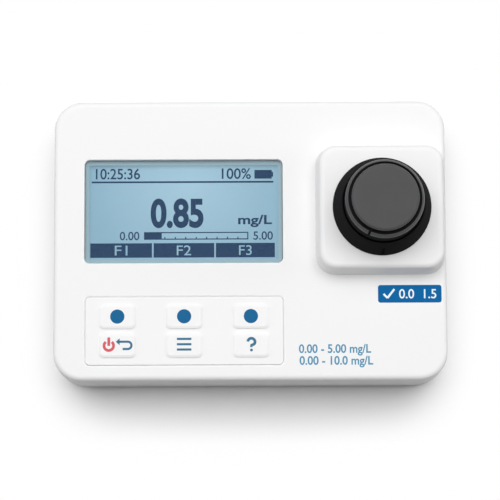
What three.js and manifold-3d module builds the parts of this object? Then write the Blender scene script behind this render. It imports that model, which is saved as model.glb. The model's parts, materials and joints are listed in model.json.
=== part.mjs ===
// Digital water tester: a portable photometer that reads a water sample in a round glass cuvette.
// Millimetres. +X is to the right, +Y to the back and +Z up. The origin is the middle of the
// footprint, on the surface that the four feet stand on.

import * as THREE from 'three';
import { mergeVertices } from 'three/addons/utils/BufferGeometryUtils.js';
import Module from 'manifold-3d';

const wasm = await Module();
wasm.setup();

// Fits that many pieces share
const seatGap = 0.3; // between a piece and the seat or bore that carries it
const cutOverrun = 1; // how far a cutting shape runs past the face that it opens
const rootDepth = 0.5; // how deep a boss, lug or thread is rooted in its carrier
const mergeTolerance = 0.0001; // corners closer than this are one corner

// Smoothness of curves, as counts
const cornerSteps = 5;
const smallCornerSteps = 3;
const filletSteps = 3;
const keyFilletSteps = 2;
const coverRoundSteps = 48;
const roundSteps = 36;
const mediumRoundSteps = 16;
const smallRoundSteps = 10;
const threadStepsPerTurn = 20;
const lugSteps = 3;
const slotSteps = 8;
const stripSteps = 10;

// Casing in plan
const bodyLength = 142.5;
const bodyDepth = 102.5;
const bodyCornerRadius = 10.5;
const bodyTopFillet = 2;
const bodyBottomFillet = 2.4;
const upperDraft = 0.35; // how far the upper wall leans in towards its top
const lowerDraft = 1.4; // how far the lower wall leans in towards its bottom
const lowerSetIn = 0.3; // the lower half sits this far inside the upper one

// Casing in height and its walls
const footProud = 1; // how far the casing stands off the table
const lowerShellHeight = 13.5;
const partingGap = 0.4;
const wallThickness = 2.5;
const deckThickness = 2.3;
const floorThickness = 2.2;
const lipThickness = 1.2;
const lipHeight = 1.6;

// Seal between the casing halves
const casingSealWidth = 0.9;
const casingSealClearance = 0.2;
const casingSealDepth = 1;

// Screws that hold the casing halves together
const caseScrewInset = 8.75;
const caseScrewRadius = 1.5;
const caseScrewHeadRadius = 2.6;
const caseScrewHeadHeight = 1.8;
const caseScrewSeatHeight = 7;
const caseScrewReach = 16;
const caseBossRadius = 3.6;
const caseBossRoof = 1.5;
const driveSlotWidth = 0.8;
const driveSlotShare = 0.68; // of the head's radius
const driveDepthShare = 0.55; // of the head's height

// Feet
const footRadius = 5;
const footSink = 0.8;
const footEdge = 0.5;
const footFromSide = 18;
const footFromFront = 14.5;
const footRoom = 2.4; // least room between a foot and the battery cover

// Three cells side by side, and the bay that holds them
const cellDiameter = 14.2;
const cellLength = 50.5;
const cellNubRadius = 2.7;
const cellNubHeight = 1.2;
const cellEdge = 0.6;
const cellCount = 3;
const bayFromSide = 5.85; // from the casing's left side to the outside of the cover's throat
const bayY = 0;
const bayWall = 1.4;
const bayRoof = 1.2;

// Leaf contacts at the ends of the cells
const contactSpace = 3.6;
const contactThickness = 0.4;
const contactWidth = 8;
const contactTabWidth = 3;
const leafReachShares = [0, 0, 0.25, 0.72, 1, 0.72, 0.5]; // of the way from the bay wall to the cell
const leafHeightShares = [0, 0.8, 0.98, 0.86, 0.5, 0.18, 0.02]; // of the cell's diameter
const leafNotchShare = 0.45; // of the way to the cell, where the two leaves of a link part

// Round bayonet cover under the cells
const coverFlange = 2.5; // width of its rim, outside the skirt
const coverThickness = 2;
const coverSetBack = 0.1; // behind the underside of the casing
const coverEdge = 0.4;
const skirtMargin = 0.7; // outside the corners of the cell bay
const skirtThickness = 1.6;
const skirtHeight = 4.5;
const neckHeight = 4.6; // of the round throat above the cover's flange
const neckRoof = 1.2;
const neckWall = 1.6;
const coverSealHeight = 1;
const coverSealWidth = 0.8;
const lugDepth = 1.4;
const lugHeight = 1.2;
const lugRise = 1.7; // from the seal groove to the lug
const lugCount = 3;
const lugDegrees = 16;
const lugMarginDegrees = 1; // free on each side of a lug
const coverTurnDegrees = 35;
const coverDrop = 0.9; // how far the ramps let the cover down over its turn
const coinSlotLength = 22;
const coinSlotWidth = 2.6;
const coinSlotDepth = 1.1;

// Main board and its fixings
const boardFromSide = 13.5; // from the casing's left side
const boardFromWell = 20.5; // from the cuvette's axis
const boardFrontMargin = 3.3; // in front of the keypad mat
const boardBackMargin = 0.2; // behind the ribbon connector
const boardCornerRadius = 2;
const boardThickness = 1.6;
const boardStandoff = 0.5; // above the roof of the cell bay
const boardScrewInset = 3;
const boardScrewRadius = 1;
const boardScrewHeadRadius = 2;
const boardScrewHeadHeight = 1.3;
const boardScrewReach = 8;
const boardPostRadius = 3;
const processorSize = 10;
const processorHeight = 1.4;
const buzzerRadius = 5.6;
const buzzerHeight = 4.2;
const buzzerPortRadius = 1;
const chipFromBoardEnd = 11.5; // from the board's right end to the middle of processor and buzzer
const chipGap = 1.1; // between the display frame, the processor and the buzzer

// Display stack, from the board up to the window
const windowFromSide = 47.25; // its middle, from the casing's left side
const windowLength = 71.8;
const windowDepth = 37.8;
const windowCornerRadius = 2;
const windowThickness = 1.5;
const windowRecess = 0.9;
const windowSideGap = 0.15;
const windowFrameWidth = 1.8;
const ledgeWidth = 1.3;
const ledgeThickness = 1.2;
const gasketThickness = 0.5;
const glassOverlap = 0.6; // how far the display glass reaches past the window on each side
const glassThickness = 2;
const backlightThickness = 1.8;
const displayFrameWall = 0.8;
const ribbonWidth = 24;
const ribbonThickness = 0.4;
const ribbonLength = 5;
const ribbonBendShares = [0.35, 0.65];
const connectorLength = 27;
const connectorDepth = 3.2;
const connectorHeight = 1.7;

// Keypad
const keypadFromSide = 47.45; // its middle, from the casing's left side
const keypadLength = 71.2;
const keypadDepth = 24.6;
const keypadCornerRadius = 1.6;
const keypadSink = 1.2;
const keypadProud = 0.15;
const keyLength = 13;
const keyDepth = 8.8;
const keyCornerRadius = 1.8;
const keyFillet = 0.45;
const keyProud = 0.7;
const keyTravel = 0.6;
const keyColumnPitch = 24;
const keyRowPitch = 10.35;
const keyFlangeSide = 1;
const keyFlangeFront = 0.45;
const keyFlangeThickness = 0.8;
const keyStemRadius = 2.2;
const keyStemLength = 1.3;
const domeRadius = 3.2;
const domeTopRadius = 2.3;
const matThickness = 0.8;
const matMargin = 0.3;
const matCornerRadius = 1.5;

// Room on the deck from front to back: the least of each, and shares of the room left over
const leastFrontRoom = 2.95; // in front of the keypad
const leastMiddleRoom = 4.3; // between the keypad and the window
const leastBackRoom = 12.85; // behind the window
const frontRoomShare = 0.15;
const backRoomShare = 0.45;

// Turret on the deck
const turretFromSide = 0.5; // from the casing's right side
const wellForward = 0.1; // of the middle of the window
const turretHeight = 10;
const turretLedge = 2.4; // flat top between the collar and the fillet
const turretLean = 1.6; // how far each side leans in towards the top
const turretCornerRadius = 6.8; // in plan, at the turret's top
const turretTopFillet = 2;
const turretWall = 2.3;
const turretRoot = 1.4; // how deep the turret is rooted in the deck

// Cuvette, its cap and liner
const cuvetteRadius = 12.3;
const cuvetteHeight = 54.9;
const cuvetteWall = 1.3;
const cuvetteBase = 1.8;
const cuvetteBottomEdge = 1.2;
const neckSetIn = 1.4; // inside the cuvette's body
const neckThickness = 1.7;
const neckLength = 14.4;
const shoulderHeight = 2.2;
const shoulderShares = [0.3, 0.4]; // of its width from the body, and of its height from the neck
const threadDepth = 1;
const threadWidth = 1.4;
const threadPitch = 3;
const neckThreadTurns = 1.5;
const capThreadTurns = 1;
const capThreadStart = 1.2; // above the cap's lower rim
const capHeight = 16.5;
const capRoof = 1.3;
const capWall = 1.9;
const capBevelHeight = 4.4;
const capBevelInset = 1.4;
const capDiscHeight = 2.1;
const capDiscTaper = 0.15;
const capDiscFillet = 0.25;
const capGrooveDepth = 0.9;
const capGrooveWidth = 0.5;
const capRimEdge = 0.3;
const capNotchWidth = 0.8;
const capNotchDepth = 0.4;
const capNotchDegrees = 245.3; // about +Z, from +X
const linerThickness = 0.6;
const linerPlugHeight = 3;

// Collar and its fixing on the turret
const collarHeight = 10.5;
const collarTopWall = 0.6;
const collarSpread = 2.4; // how much wider the cone is at its foot
const collarFoot = 0.5; // upright edge under the cone
const collarTopEdge = 0.25;
const collarCapGap = 0.4;
const collarGuideGap = 0.4;
const collarShelfGap = 1;
const collarSpigotWall = 3.9;
const collarSpigotLength = 7.3;
const indexNotchWidth = 1.4;
const indexNotchDepth = 0.35;
const indexNotchShare = 0.65; // of the collar's height
const collarSealHeight = 1.3;
const collarSealDepth = 0.8;
const nutHeight = 3.6;
const nutWidth = 2.4;

// Optical block, with the beam along Y
const blockWall = 2.7;
const blockFloor = 1.6;
const blockFlangeWidth = 2.6;
const blockFlangeThickness = 2;
const blockRingWall = 1.5;
const blockRingHeight = 2;
const beamHeight = 14.9; // above the bottom of the cuvette
const apertureRadius = 2.5;
const beamBossRadius = 6.5;
const beamBossReach = 11; // past the block's wall
const beamSeatRadius = 4.3;
const beamSeatDepth = 9.5;
const lensThickness = 2;
const lensCrown = 1;
const lensRingShares = [0.5, 0.25]; // of its radius, and of its crown below the top
const lampBaseThickness = 2;
const lampRadius = 2.5;
const lampLength = 4;
const filterThickness = 3;
const detectorBaseThickness = 1;
const detectorCanRadius = 3.4;
const detectorCanHeight = 3;
const referenceSize = 5;
const referenceThickness = 1.5;
const referencePad = 0.8;
const referencePortRadius = 1.5;
const opticsBoardLength = 16;
const opticsBoardHeight = 12;
const cableWidth = 5;
const cableThickness = 0.6;
const cableBow = 1.2;
const cableBendShares = [0.3, 0.7];

// Heights that follow from the sizes above, from the table up
const undersideZ = footProud;
const floorTopZ = undersideZ + floorThickness;
const partingZ = undersideZ + lowerShellHeight;
const upperLowZ = partingZ + partingGap;
const coverLowZ = undersideZ + coverSetBack;
const coverTopZ = coverLowZ + coverThickness;
const neckLowZ = coverTopZ + seatGap;
const neckTopZ = neckLowZ + neckHeight;
const cellAxisZ = coverTopZ + seatGap + cellDiameter / 2;
const bayRoofLowZ = cellAxisZ + cellDiameter / 2 + seatGap;
const bayTopZ = bayRoofLowZ + bayRoof;
const boardLowZ = bayTopZ + boardStandoff;
const boardTopZ = boardLowZ + boardThickness;
const backlightLowZ = boardTopZ + seatGap;
const backlightTopZ = backlightLowZ + backlightThickness;
const glassLowZ = backlightTopZ + seatGap;
const glassTopZ = glassLowZ + glassThickness;
const ledgeLowZ = glassTopZ + seatGap;
const ledgeTopZ = ledgeLowZ + ledgeThickness;
const windowLowZ = ledgeTopZ + gasketThickness;
const windowTopZ = windowLowZ + windowThickness;
const deckZ = windowTopZ + windowRecess;
const deckLowZ = deckZ - deckThickness;
const turretTopZ = deckZ + turretHeight;
const turretRoofZ = turretTopZ - turretWall;
const collarTopZ = turretTopZ + collarHeight;
const collarLowZ = turretTopZ - collarSpigotLength;
const blockTopZ = collarLowZ - seatGap;
const cuvetteLowZ = floorTopZ + blockFloor + seatGap;
const rimZ = cuvetteLowZ + cuvetteHeight;
const linerLowZ = rimZ + seatGap;
const linerTopZ = linerLowZ + linerThickness;
const capRoofZ = linerTopZ + seatGap;
const capTopZ = capRoofZ + capRoof;
const capLowZ = capTopZ - capHeight;
const beamZ = cuvetteLowZ + beamHeight;
const keypadTopZ = deckZ + keypadProud;
const keypadLowZ = deckZ - keypadSink;
const keyTopZ = keypadTopZ + keyProud;
const keyFlangeTopZ = deckLowZ - seatGap;
const keyFlangeLowZ = keyFlangeTopZ - keyFlangeThickness;
const keyStemLowZ = keyFlangeLowZ - keyStemLength;
const domeTopZ = keyStemLowZ - keyTravel - seatGap;
const matTopZ = boardTopZ + matThickness;

// Radii about the well's axis, from the cuvette outwards
const neckRadius = cuvetteRadius - neckSetIn;
const threadRadius = neckRadius + threadDepth;
const capBore = threadRadius + seatGap;
const capRadius = capBore + capWall;
const capRingRadius = capRadius - capBevelInset;
const capDiscRadius = capRingRadius - capGrooveWidth;
const collarBore = capRadius + collarCapGap;
const collarTopRadius = collarBore + collarTopWall;
const collarBaseRadius = collarTopRadius + collarSpread;
const blockBore = cuvetteRadius + collarGuideGap;
const blockRadius = blockBore + blockWall;
const blockFlangeRadius = blockRadius + blockFlangeWidth;
const beamBossEnd = blockRadius + beamBossReach;
const beamSeatEnd = beamBossEnd - beamSeatDepth;
const collarSpigotRadius = blockBore + collarSpigotWall;
const turretHole = collarSpigotRadius + seatGap;
const turretBaseSize = 2 * (collarBaseRadius + turretLedge + turretTopFillet + turretLean);

// Cell bay and cover, from the cells outwards
const cellRadius = cellDiameter / 2;
const cellPitch = cellDiameter + seatGap;
const bayHalfLength = cellLength / 2 + contactSpace;
const bayHalfWidth = cellPitch * cellCount / 2 + seatGap;
const contactPlaneX = bayHalfLength - seatGap - contactThickness / 2;
const skirtRadius = Math.hypot(bayHalfLength, bayHalfWidth) + skirtMargin;
const coverRadius = skirtRadius + coverFlange;
const throatRadius = coverRadius + seatGap + neckWall;

// Lengths and depths of the display stack and the mat
const glassLength = windowLength + 2 * glassOverlap;
const glassDepth = windowDepth + 2 * glassOverlap;
const frameInnerLength = glassLength + 2 * seatGap;
const frameInnerDepth = glassDepth + 2 * seatGap;
const frameOuterLength = frameInnerLength + 2 * displayFrameWall;
const frameOuterDepth = frameInnerDepth + 2 * displayFrameWall;
const matLength = 2 * (keyColumnPitch + domeRadius + matMargin);
const matDepth = keyRowPitch + 2 * (domeRadius + matMargin);

// Places, from the sides of the casing inwards
const leftSide = -bodyLength / 2;
const rightSide = bodyLength / 2;
const leastRoom = leastFrontRoom + leastMiddleRoom + leastBackRoom;
const spareRoom = bodyDepth - keypadDepth - windowDepth - leastRoom;
const bayX = leftSide + bayFromSide + throatRadius;
const windowX = leftSide + windowFromSide;
const windowY = bodyDepth / 2 - leastBackRoom - spareRoom * backRoomShare - windowDepth / 2;
const keypadX = leftSide + keypadFromSide;
const keypadY = -bodyDepth / 2 + leastFrontRoom + spareRoom * frontRoomShare + keypadDepth / 2;
const wellX = rightSide - turretFromSide - turretBaseSize / 2;
const wellY = windowY - wellForward;
const ribbonY = windowY + glassDepth / 2 + seatGap;
const connectorY = ribbonY + ribbonLength + seatGap;

// Main board, from what it carries
const boardLeft = leftSide + boardFromSide;
const boardRight = wellX - boardFromWell;
const boardFront = keypadY - matDepth / 2 - boardFrontMargin;
const boardBack = connectorY + connectorDepth + boardBackMargin;
const boardLength = boardRight - boardLeft;
const boardDepth = boardBack - boardFront;
const boardX = (boardLeft + boardRight) / 2;
const boardY = (boardFront + boardBack) / 2;
const boardScrewX = boardLength / 2 - boardScrewInset;
const boardScrewY = boardDepth / 2 - boardScrewInset;
const chipX = boardRight - chipFromBoardEnd;
const processorY = windowY - frameOuterDepth / 2 - chipGap - processorSize / 2;
const buzzerY = processorY - processorSize / 2 - chipGap - buzzerRadius;

// Screws and feet
const caseScrewX = bodyLength / 2 - caseScrewInset;
const caseScrewY = bodyDepth / 2 - caseScrewInset;
const footY = bodyDepth / 2 - footFromFront;
const footClearX = otherLeg(coverRadius + footRoom + footRadius, footY) - bayX;
const footX = Math.max(bodyLength / 2 - footFromSide, footClearX);

// The other short side of a right triangle, or nothing where the given side is the longer one
function otherLeg(longSide, leg) {
  return Math.sqrt(Math.max(longSide * longSide - leg * leg, 0));
}

// Every place of a piece that is set in a rectangle of four
function fourPlaces(x, y) {
  return [[-x, -y], [x, -y], [x, y], [-x, y]];
}

// A closed shell: shared corners merged, slivers dropped, faces turned outward
function closedUp(geometry) {
  const bare = new THREE.BufferGeometry();
  bare.setAttribute('position', geometry.getAttribute('position').clone());
  bare.setIndex(geometry.index);
  const merged = mergeVertices(bare, mergeTolerance);
  const index = [];
  const corners = merged.index.array;
  for (let i = 0; i < corners.length; i += 3) {
    const [a, b, c] = corners.slice(i, i + 3);
    if (a !== b && b !== c && c !== a) index.push(a, b, c);
  }
  merged.setIndex(volumeOf(merged, index) < 0 ? index.reverse() : index);
  return merged;
}

function volumeOf(geometry, index) {
  const position = geometry.getAttribute('position');
  const corner = (i) => new THREE.Vector3().fromBufferAttribute(position, index[i]);
  let sixfold = 0;
  for (let i = 0; i < index.length; i += 3) {
    sixfold += corner(i).dot(corner(i + 1).cross(corner(i + 2)));
  }
  return sixfold / 6;
}

function toSolid(geometry) {
  const closed = closedUp(geometry);
  return new wasm.Manifold(new wasm.Mesh({
    numProp: 3,
    vertProperties: Float32Array.from(closed.getAttribute('position').array),
    triVerts: Uint32Array.from(closed.index.array),
  }));
}

// All the joined shapes as one, less all the cut shapes
function carve(joined, cut = []) {
  let solid = joined.map(toSolid).reduce((sum, next) => sum.add(next));
  for (const tool of cut) solid = solid.subtract(toSolid(tool));
  const { vertProperties, triVerts } = solid.getMesh();
  const geometry = new THREE.BufferGeometry();
  geometry.setAttribute('position', new THREE.BufferAttribute(vertProperties, 3));
  geometry.setIndex(new THREE.BufferAttribute(triVerts, 1));
  return geometry;
}

// Corner points of a rounded rectangle about a middle, anticlockwise from above
function roundedRing(width, depth, radius, steps = cornerSteps, x = 0, y = 0) {
  const ring = [];
  for (let corner = 0; corner < 4; corner += 1) {
    const toRight = corner === 0 || corner === 3 ? 1 : -1;
    const toBack = corner < 2 ? 1 : -1;
    for (let step = 0; step <= steps; step += 1) {
      const angle = (corner + step / steps) * Math.PI / 2;
      ring.push(new THREE.Vector2(
        x + toRight * (width / 2 - radius) + radius * Math.cos(angle),
        y + toBack * (depth / 2 - radius) + radius * Math.sin(angle),
      ));
    }
  }
  return ring;
}

function circleRing(radius, steps, x = 0, y = 0) {
  return Array.from({ length: steps }, (_, step) => {
    const angle = step / steps * 2 * Math.PI;
    return new THREE.Vector2(x + radius * Math.cos(angle), y + radius * Math.sin(angle));
  });
}

// A straight plate with upright sides, with holes through it
function plate(outline, low, high, holes = []) {
  const shape = new THREE.Shape(outline);
  shape.holes = holes.map((hole) => new THREE.Path(hole));
  return new THREE.ExtrudeGeometry(shape, { depth: high - low, bevelEnabled: false })
    .translate(0, 0, low);
}

function block(width, depth, low, high, x = 0, y = 0) {
  return new THREE.BoxGeometry(width, depth, high - low).translate(x, y, (low + high) / 2);
}

function rod(radius, low, high, steps, x = 0, y = 0) {
  return plate(circleRing(radius, steps, x, y), low, high);
}

// A solid of revolution about Z from [radius, height] points, which start and end on the axis
function turned(profile, steps) {
  const points = profile.map(([radius, height]) => new THREE.Vector2(radius, height));
  return new THREE.LatheGeometry(points, steps).rotateX(Math.PI / 2);
}

// The same for a ring that stays off the axis
function turnedRing(profile, steps) {
  return turned([...profile, profile[0]], steps);
}

// A closed solid through a row of like rings, with flat ends
function skinned(rings) {
  const count = rings[0].length;
  const index = [];
  for (let start = 0; start < (rings.length - 1) * count; start += count) {
    for (let i = 0; i < count; i += 1) {
      const here = start + i;
      const next = start + (i + 1) % count;
      index.push(here, next, next + count, here, next + count, here + count);
    }
  }
  const last = (rings.length - 1) * count;
  for (let i = 1; i + 1 < count; i += 1) index.push(0, i + 1, i, last, last + i, last + i + 1);
  const geometry = new THREE.BufferGeometry().setFromPoints(rings.flat());
  return geometry.setIndex(index);
}

// A rounded box through levels of { width, depth, radius, z }
function stack(levels, steps = cornerSteps) {
  return skinned(levels.map(({ width, depth, radius, z }) => (
    roundedRing(width, depth, radius, steps).map(({ x, y }) => new THREE.Vector3(x, y, z)))));
}

function inset(level, distance, z) {
  const { width, depth, radius } = level;
  return { width: width - 2 * distance, depth: depth - 2 * distance, radius: radius - distance, z };
}

// Levels of a quarter-round edge that closes a level towards endZ
function edgeLevels(level, fillet, endZ, steps = filletSteps) {
  const towards = Math.sign(endZ - level.z);
  return Array.from({ length: steps + 1 }, (_, step) => {
    const angle = step / steps * Math.PI / 2;
    return inset(level, fillet * (1 - Math.cos(angle)), endZ - towards * fillet * (1 - Math.sin(angle)));
  });
}

// A section of [radius, height] points swept about Z, climbing by a pitch for each turn
function helix(section, startAngle, turns, pitch, steps) {
  const count = Math.ceil(steps);
  return skinned(Array.from({ length: count + 1 }, (_, step) => {
    const turn = step / count * turns;
    const angle = startAngle + turn * 2 * Math.PI;
    return section.map(([radius, height]) => new THREE.Vector3(
      radius * Math.cos(angle), radius * Math.sin(angle), height + pitch * turn));
  }));
}

// A flat strip of metal, foil or cable along a centre line in X and Z, as wide as Y
function strip(line, thickness, width) {
  const curve = new THREE.SplineCurve(line.map(([x, z]) => new THREE.Vector2(x, z)));
  return skinned(Array.from({ length: stripSteps + 1 }, (_, step) => {
    const middle = curve.getPoint(step / stripSteps);
    const along = curve.getTangent(step / stripSteps);
    const across = new THREE.Vector2(-along.y, along.x).multiplyScalar(thickness / 2);
    const corner = (side, end) => new THREE.Vector3(
      middle.x + side * across.x, end * width / 2, middle.y + side * across.y);
    return [corner(-1, -1), corner(1, -1), corner(1, 1), corner(-1, 1)];
  }));
}

// Casing

const bodyPlan = { width: bodyLength, depth: bodyDepth, radius: bodyCornerRadius };
const turretPlan = { width: turretBaseSize, depth: turretBaseSize };
turretPlan.radius = turretCornerRadius + turretLean;

function upperOuter() {
  const foot = inset(bodyPlan, 0, upperLowZ);
  const edge = inset(bodyPlan, upperDraft, upperLowZ);
  return stack([foot, ...edgeLevels(edge, bodyTopFillet, deckZ)]);
}

function turretOuter() {
  const foot = inset(turretPlan, 0, deckZ - turretRoot);
  const deck = inset(turretPlan, 0, deckZ);
  const edge = inset(turretPlan, turretLean, deckZ);
  return stack([foot, deck, ...edgeLevels(edge, turretTopFillet, turretTopZ)]).translate(wellX, wellY, 0);
}

function turretHollow() {
  const low = inset(turretPlan, turretWall + turretLean / 2, deckLowZ - cutOverrun);
  const high = inset(turretPlan, turretWall + turretLean, turretRoofZ);
  return stack([low, high]).translate(wellX, wellY, 0);
}

function upperHollow() {
  const low = inset(bodyPlan, wallThickness, upperLowZ - cutOverrun);
  const high = inset(bodyPlan, wallThickness + upperDraft, deckLowZ);
  return stack([low, high]);
}

function windowOutline(margin) {
  const radius = Math.max(windowCornerRadius + margin, mergeTolerance);
  return roundedRing(
    windowLength + 2 * margin, windowDepth + 2 * margin, radius, smallCornerSteps, windowX, windowY);
}

const keyPlaces = [
  ['key_f1', -1, 1], ['key_f2', 0, 1], ['key_f3', 1, 1],
  ['key_power', -1, -1], ['key_menu', 0, -1], ['key_help', 1, -1],
].map(([name, column, row]) => (
  { name, x: keypadX + column * keyColumnPitch, y: keypadY + row * keyRowPitch / 2 }));

function keyOutline(place, margin) {
  return roundedRing(keyLength + 2 * margin, keyDepth + 2 * margin, keyCornerRadius + margin,
    smallCornerSteps, place.x, place.y);
}

function keypadOutline(margin) {
  return roundedRing(keypadLength + 2 * margin, keypadDepth + 2 * margin, keypadCornerRadius + margin,
    smallCornerSteps, keypadX, keypadY);
}

function topHousing() {
  const shell = carve([upperOuter(), turretOuter()], [upperHollow(), turretHollow()]);
  const bosses = fourPlaces(caseScrewX, caseScrewY).map(([x, y]) => (
    rod(caseBossRadius, upperLowZ, deckLowZ + rootDepth, smallRoundSteps, x, y)));
  const windowFrame = plate(windowOutline(windowFrameWidth), ledgeLowZ, deckLowZ + rootDepth);
  const screwHoles = fourPlaces(caseScrewX, caseScrewY).map(([x, y]) => (
    rod(caseScrewRadius + seatGap, upperLowZ - cutOverrun, deckLowZ - caseBossRoof,
      smallRoundSteps, x, y)));
  return carve([shell, ...bosses, windowFrame], [
    ...screwHoles,
    plate(windowOutline(0), ledgeTopZ, deckZ + cutOverrun),
    plate(windowOutline(-ledgeWidth), ledgeLowZ - cutOverrun, ledgeTopZ + cutOverrun),
    plate(keypadOutline(seatGap), keypadLowZ, deckZ + cutOverrun),
    ...keyPlaces.map((place) => (
      plate(keyOutline(place, seatGap), deckLowZ - cutOverrun, keypadLowZ + cutOverrun))),
    rod(turretHole, turretRoofZ - cutOverrun, turretTopZ + cutOverrun, roundSteps, wellX, wellY),
  ]);
}

function lowerOuter() {
  const top = inset(bodyPlan, lowerSetIn, partingZ);
  const bottom = inset(bodyPlan, lowerDraft, partingZ);
  return stack([...edgeLevels(bottom, bodyBottomFillet, undersideZ).reverse(), top]);
}

function lowerHollow() {
  const low = inset(bodyPlan, wallThickness + lowerDraft, floorTopZ);
  const high = inset(bodyPlan, wallThickness + lowerSetIn, partingZ + cutOverrun);
  return stack([low, high]);
}

// The upstanding lip that keeps the two halves in line
function lowerLip() {
  const rooted = inset(bodyPlan, wallThickness);
  const outer = inset(bodyPlan, wallThickness + seatGap);
  const inner = inset(outer, lipThickness);
  const low = partingZ - lipHeight;
  return carve(
    [stack([{ ...rooted, z: low }, { ...rooted, z: partingZ }, { ...outer, z: partingZ },
      { ...outer, z: partingZ + lipHeight }])],
    [stack([{ ...inner, z: low - cutOverrun }, { ...inner, z: partingZ + lipHeight + cutOverrun }])]);
}

// The seal's groove, or the seal itself, as a ring in the middle of the wall
function rimRing(width, low, high) {
  const middle = (wallThickness + lowerSetIn) / 2;
  const outer = inset(bodyPlan, middle - width / 2);
  const inner = inset(bodyPlan, middle + width / 2);
  return carve(
    [stack([{ ...outer, z: low }, { ...outer, z: high }])],
    [stack([{ ...inner, z: low - cutOverrun }, { ...inner, z: high + cutOverrun }])]);
}

function bayPlate(margin, low, high) {
  return block(2 * (bayHalfLength + margin), 2 * (bayHalfWidth + margin), low, high, bayX, bayY);
}

// The two contacts that run up to the board, as [end of the bay, row of the cell]
const tabPlaces = [[1, -1], [-1, 1]];

function tabSlots(low, high) {
  return tabPlaces.map(([end, row]) => block(
    contactThickness + 2 * seatGap, contactTabWidth + 2 * seatGap, low, high,
    bayX + end * contactPlaneX, bayY + row * cellPitch));
}

// What turns the cover's lugs: an entry slot for each, and a ramp that lets it down as it turns
function lugTracks() {
  const grooveLow = coverTopZ + seatGap + coverSealHeight + lugRise - seatGap;
  const grooveHigh = grooveLow + lugHeight + 2 * seatGap;
  const outer = skirtRadius + lugDepth + seatGap;
  const inner = skirtRadius - seatGap;
  const lugTurns = (lugDegrees / 2 + lugMarginDegrees) / 360;
  const turns = coverTurnDegrees / 360 + 2 * lugTurns;
  const pitch = coverDrop / (coverTurnDegrees / 360);
  const section = [[inner, grooveLow], [outer, grooveLow], [outer, grooveHigh], [inner, grooveHigh]];
  return lugAngles().flatMap((angle) => {
    const start = angle + (lugTurns - turns) * 2 * Math.PI;
    const drop = pitch * (turns - lugTurns);
    const ramp = section.map(([radius, height]) => [radius, height - drop]);
    const entry = [[inner, undersideZ - cutOverrun], [outer, undersideZ - cutOverrun],
      [outer, grooveHigh - coverDrop], [inner, grooveHigh - coverDrop]];
    return [
      helix(ramp, start, turns, pitch, slotSteps),
      helix(entry, start, 2 * lugTurns, 0, lugSteps),
    ].map((track) => track.translate(bayX, bayY, 0));
  });
}

function lugAngles() {
  return Array.from({ length: lugCount }, (_, lug) => lug / lugCount * 2 * Math.PI);
}

function bottomHousing() {
  const posts = fourPlaces(boardScrewX, boardScrewY).map(([x, y]) => (
    rod(boardPostRadius, floorTopZ - rootDepth, boardLowZ, smallRoundSteps, boardX + x, boardY + y)));
  const bosses = fourPlaces(caseScrewX, caseScrewY).map(([x, y]) => (
    rod(caseBossRadius, floorTopZ - rootDepth, partingZ, smallRoundSteps, x, y)));
  const throat = rod(throatRadius, undersideZ + rootDepth, neckTopZ + neckRoof,
    coverRoundSteps, bayX, bayY);
  const blockRing = rod(blockFlangeRadius + seatGap + blockRingWall, floorTopZ - rootDepth,
    floorTopZ + blockRingHeight, roundSteps, wellX, wellY);
  return carve(
    [carve([lowerOuter()], [lowerHollow()]), lowerLip(), ...posts, ...bosses, throat, blockRing,
      bayPlate(bayWall, floorTopZ - rootDepth, bayTopZ)],
    [...screwHolesInLower(), ...footRecesses(), ...bayCuts(),
      rimRing(casingSealWidth + 2 * casingSealClearance, partingZ - casingSealDepth, partingZ + cutOverrun),
      rod(blockFlangeRadius + seatGap, floorTopZ, floorTopZ + blockRingHeight + cutOverrun,
        roundSteps, wellX, wellY)]);
}

function screwHolesInLower() {
  const seat = undersideZ + caseScrewSeatHeight;
  return [
    ...fourPlaces(caseScrewX, caseScrewY).flatMap(([x, y]) => [
      rod(caseScrewHeadRadius + seatGap, undersideZ - cutOverrun, seat, smallRoundSteps, x, y),
      rod(caseScrewRadius + seatGap, seat - cutOverrun, partingZ + cutOverrun, smallRoundSteps, x, y),
    ]),
    ...fourPlaces(boardScrewX, boardScrewY).map(([x, y]) => rod(boardScrewRadius + seatGap,
      boardLowZ - boardScrewReach, boardLowZ + cutOverrun, smallRoundSteps, boardX + x, boardY + y)),
  ];
}

function footRecesses() {
  return fourPlaces(footX, footY).map(([x, y]) => (
    rod(footRadius + seatGap, undersideZ - cutOverrun, undersideZ + footSink, mediumRoundSteps, x, y)));
}

function bayCuts() {
  return [
    rod(coverRadius + seatGap, undersideZ - cutOverrun, neckLowZ, coverRoundSteps, bayX, bayY),
    rod(skirtRadius + seatGap, undersideZ - cutOverrun, neckTopZ, coverRoundSteps, bayX, bayY),
    bayPlate(0, undersideZ - cutOverrun, bayRoofLowZ),
    ...tabSlots(bayRoofLowZ - cutOverrun, bayTopZ + cutOverrun),
    ...lugTracks(),
  ];
}

function housingSeal() {
  return rimRing(casingSealWidth, partingZ - casingSealDepth, upperLowZ);
}

function foot() {
  return turned([[0, 0], [footRadius - footEdge, 0], [footRadius, footEdge],
    [footRadius, undersideZ + footSink], [0, undersideZ + footSink]], mediumRoundSteps);
}

// A pan-head screw that points up, with its head's seat at height zero
function panScrew(radius, reach, headRadius, headHeight) {
  return turned([[0, -headHeight], [headRadius * driveSlotShare, -headHeight],
    [headRadius, -headHeight / 2], [headRadius, 0], [radius, 0], [radius, reach - radius],
    [radius / 2, reach], [0, reach]], smallRoundSteps);
}

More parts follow.
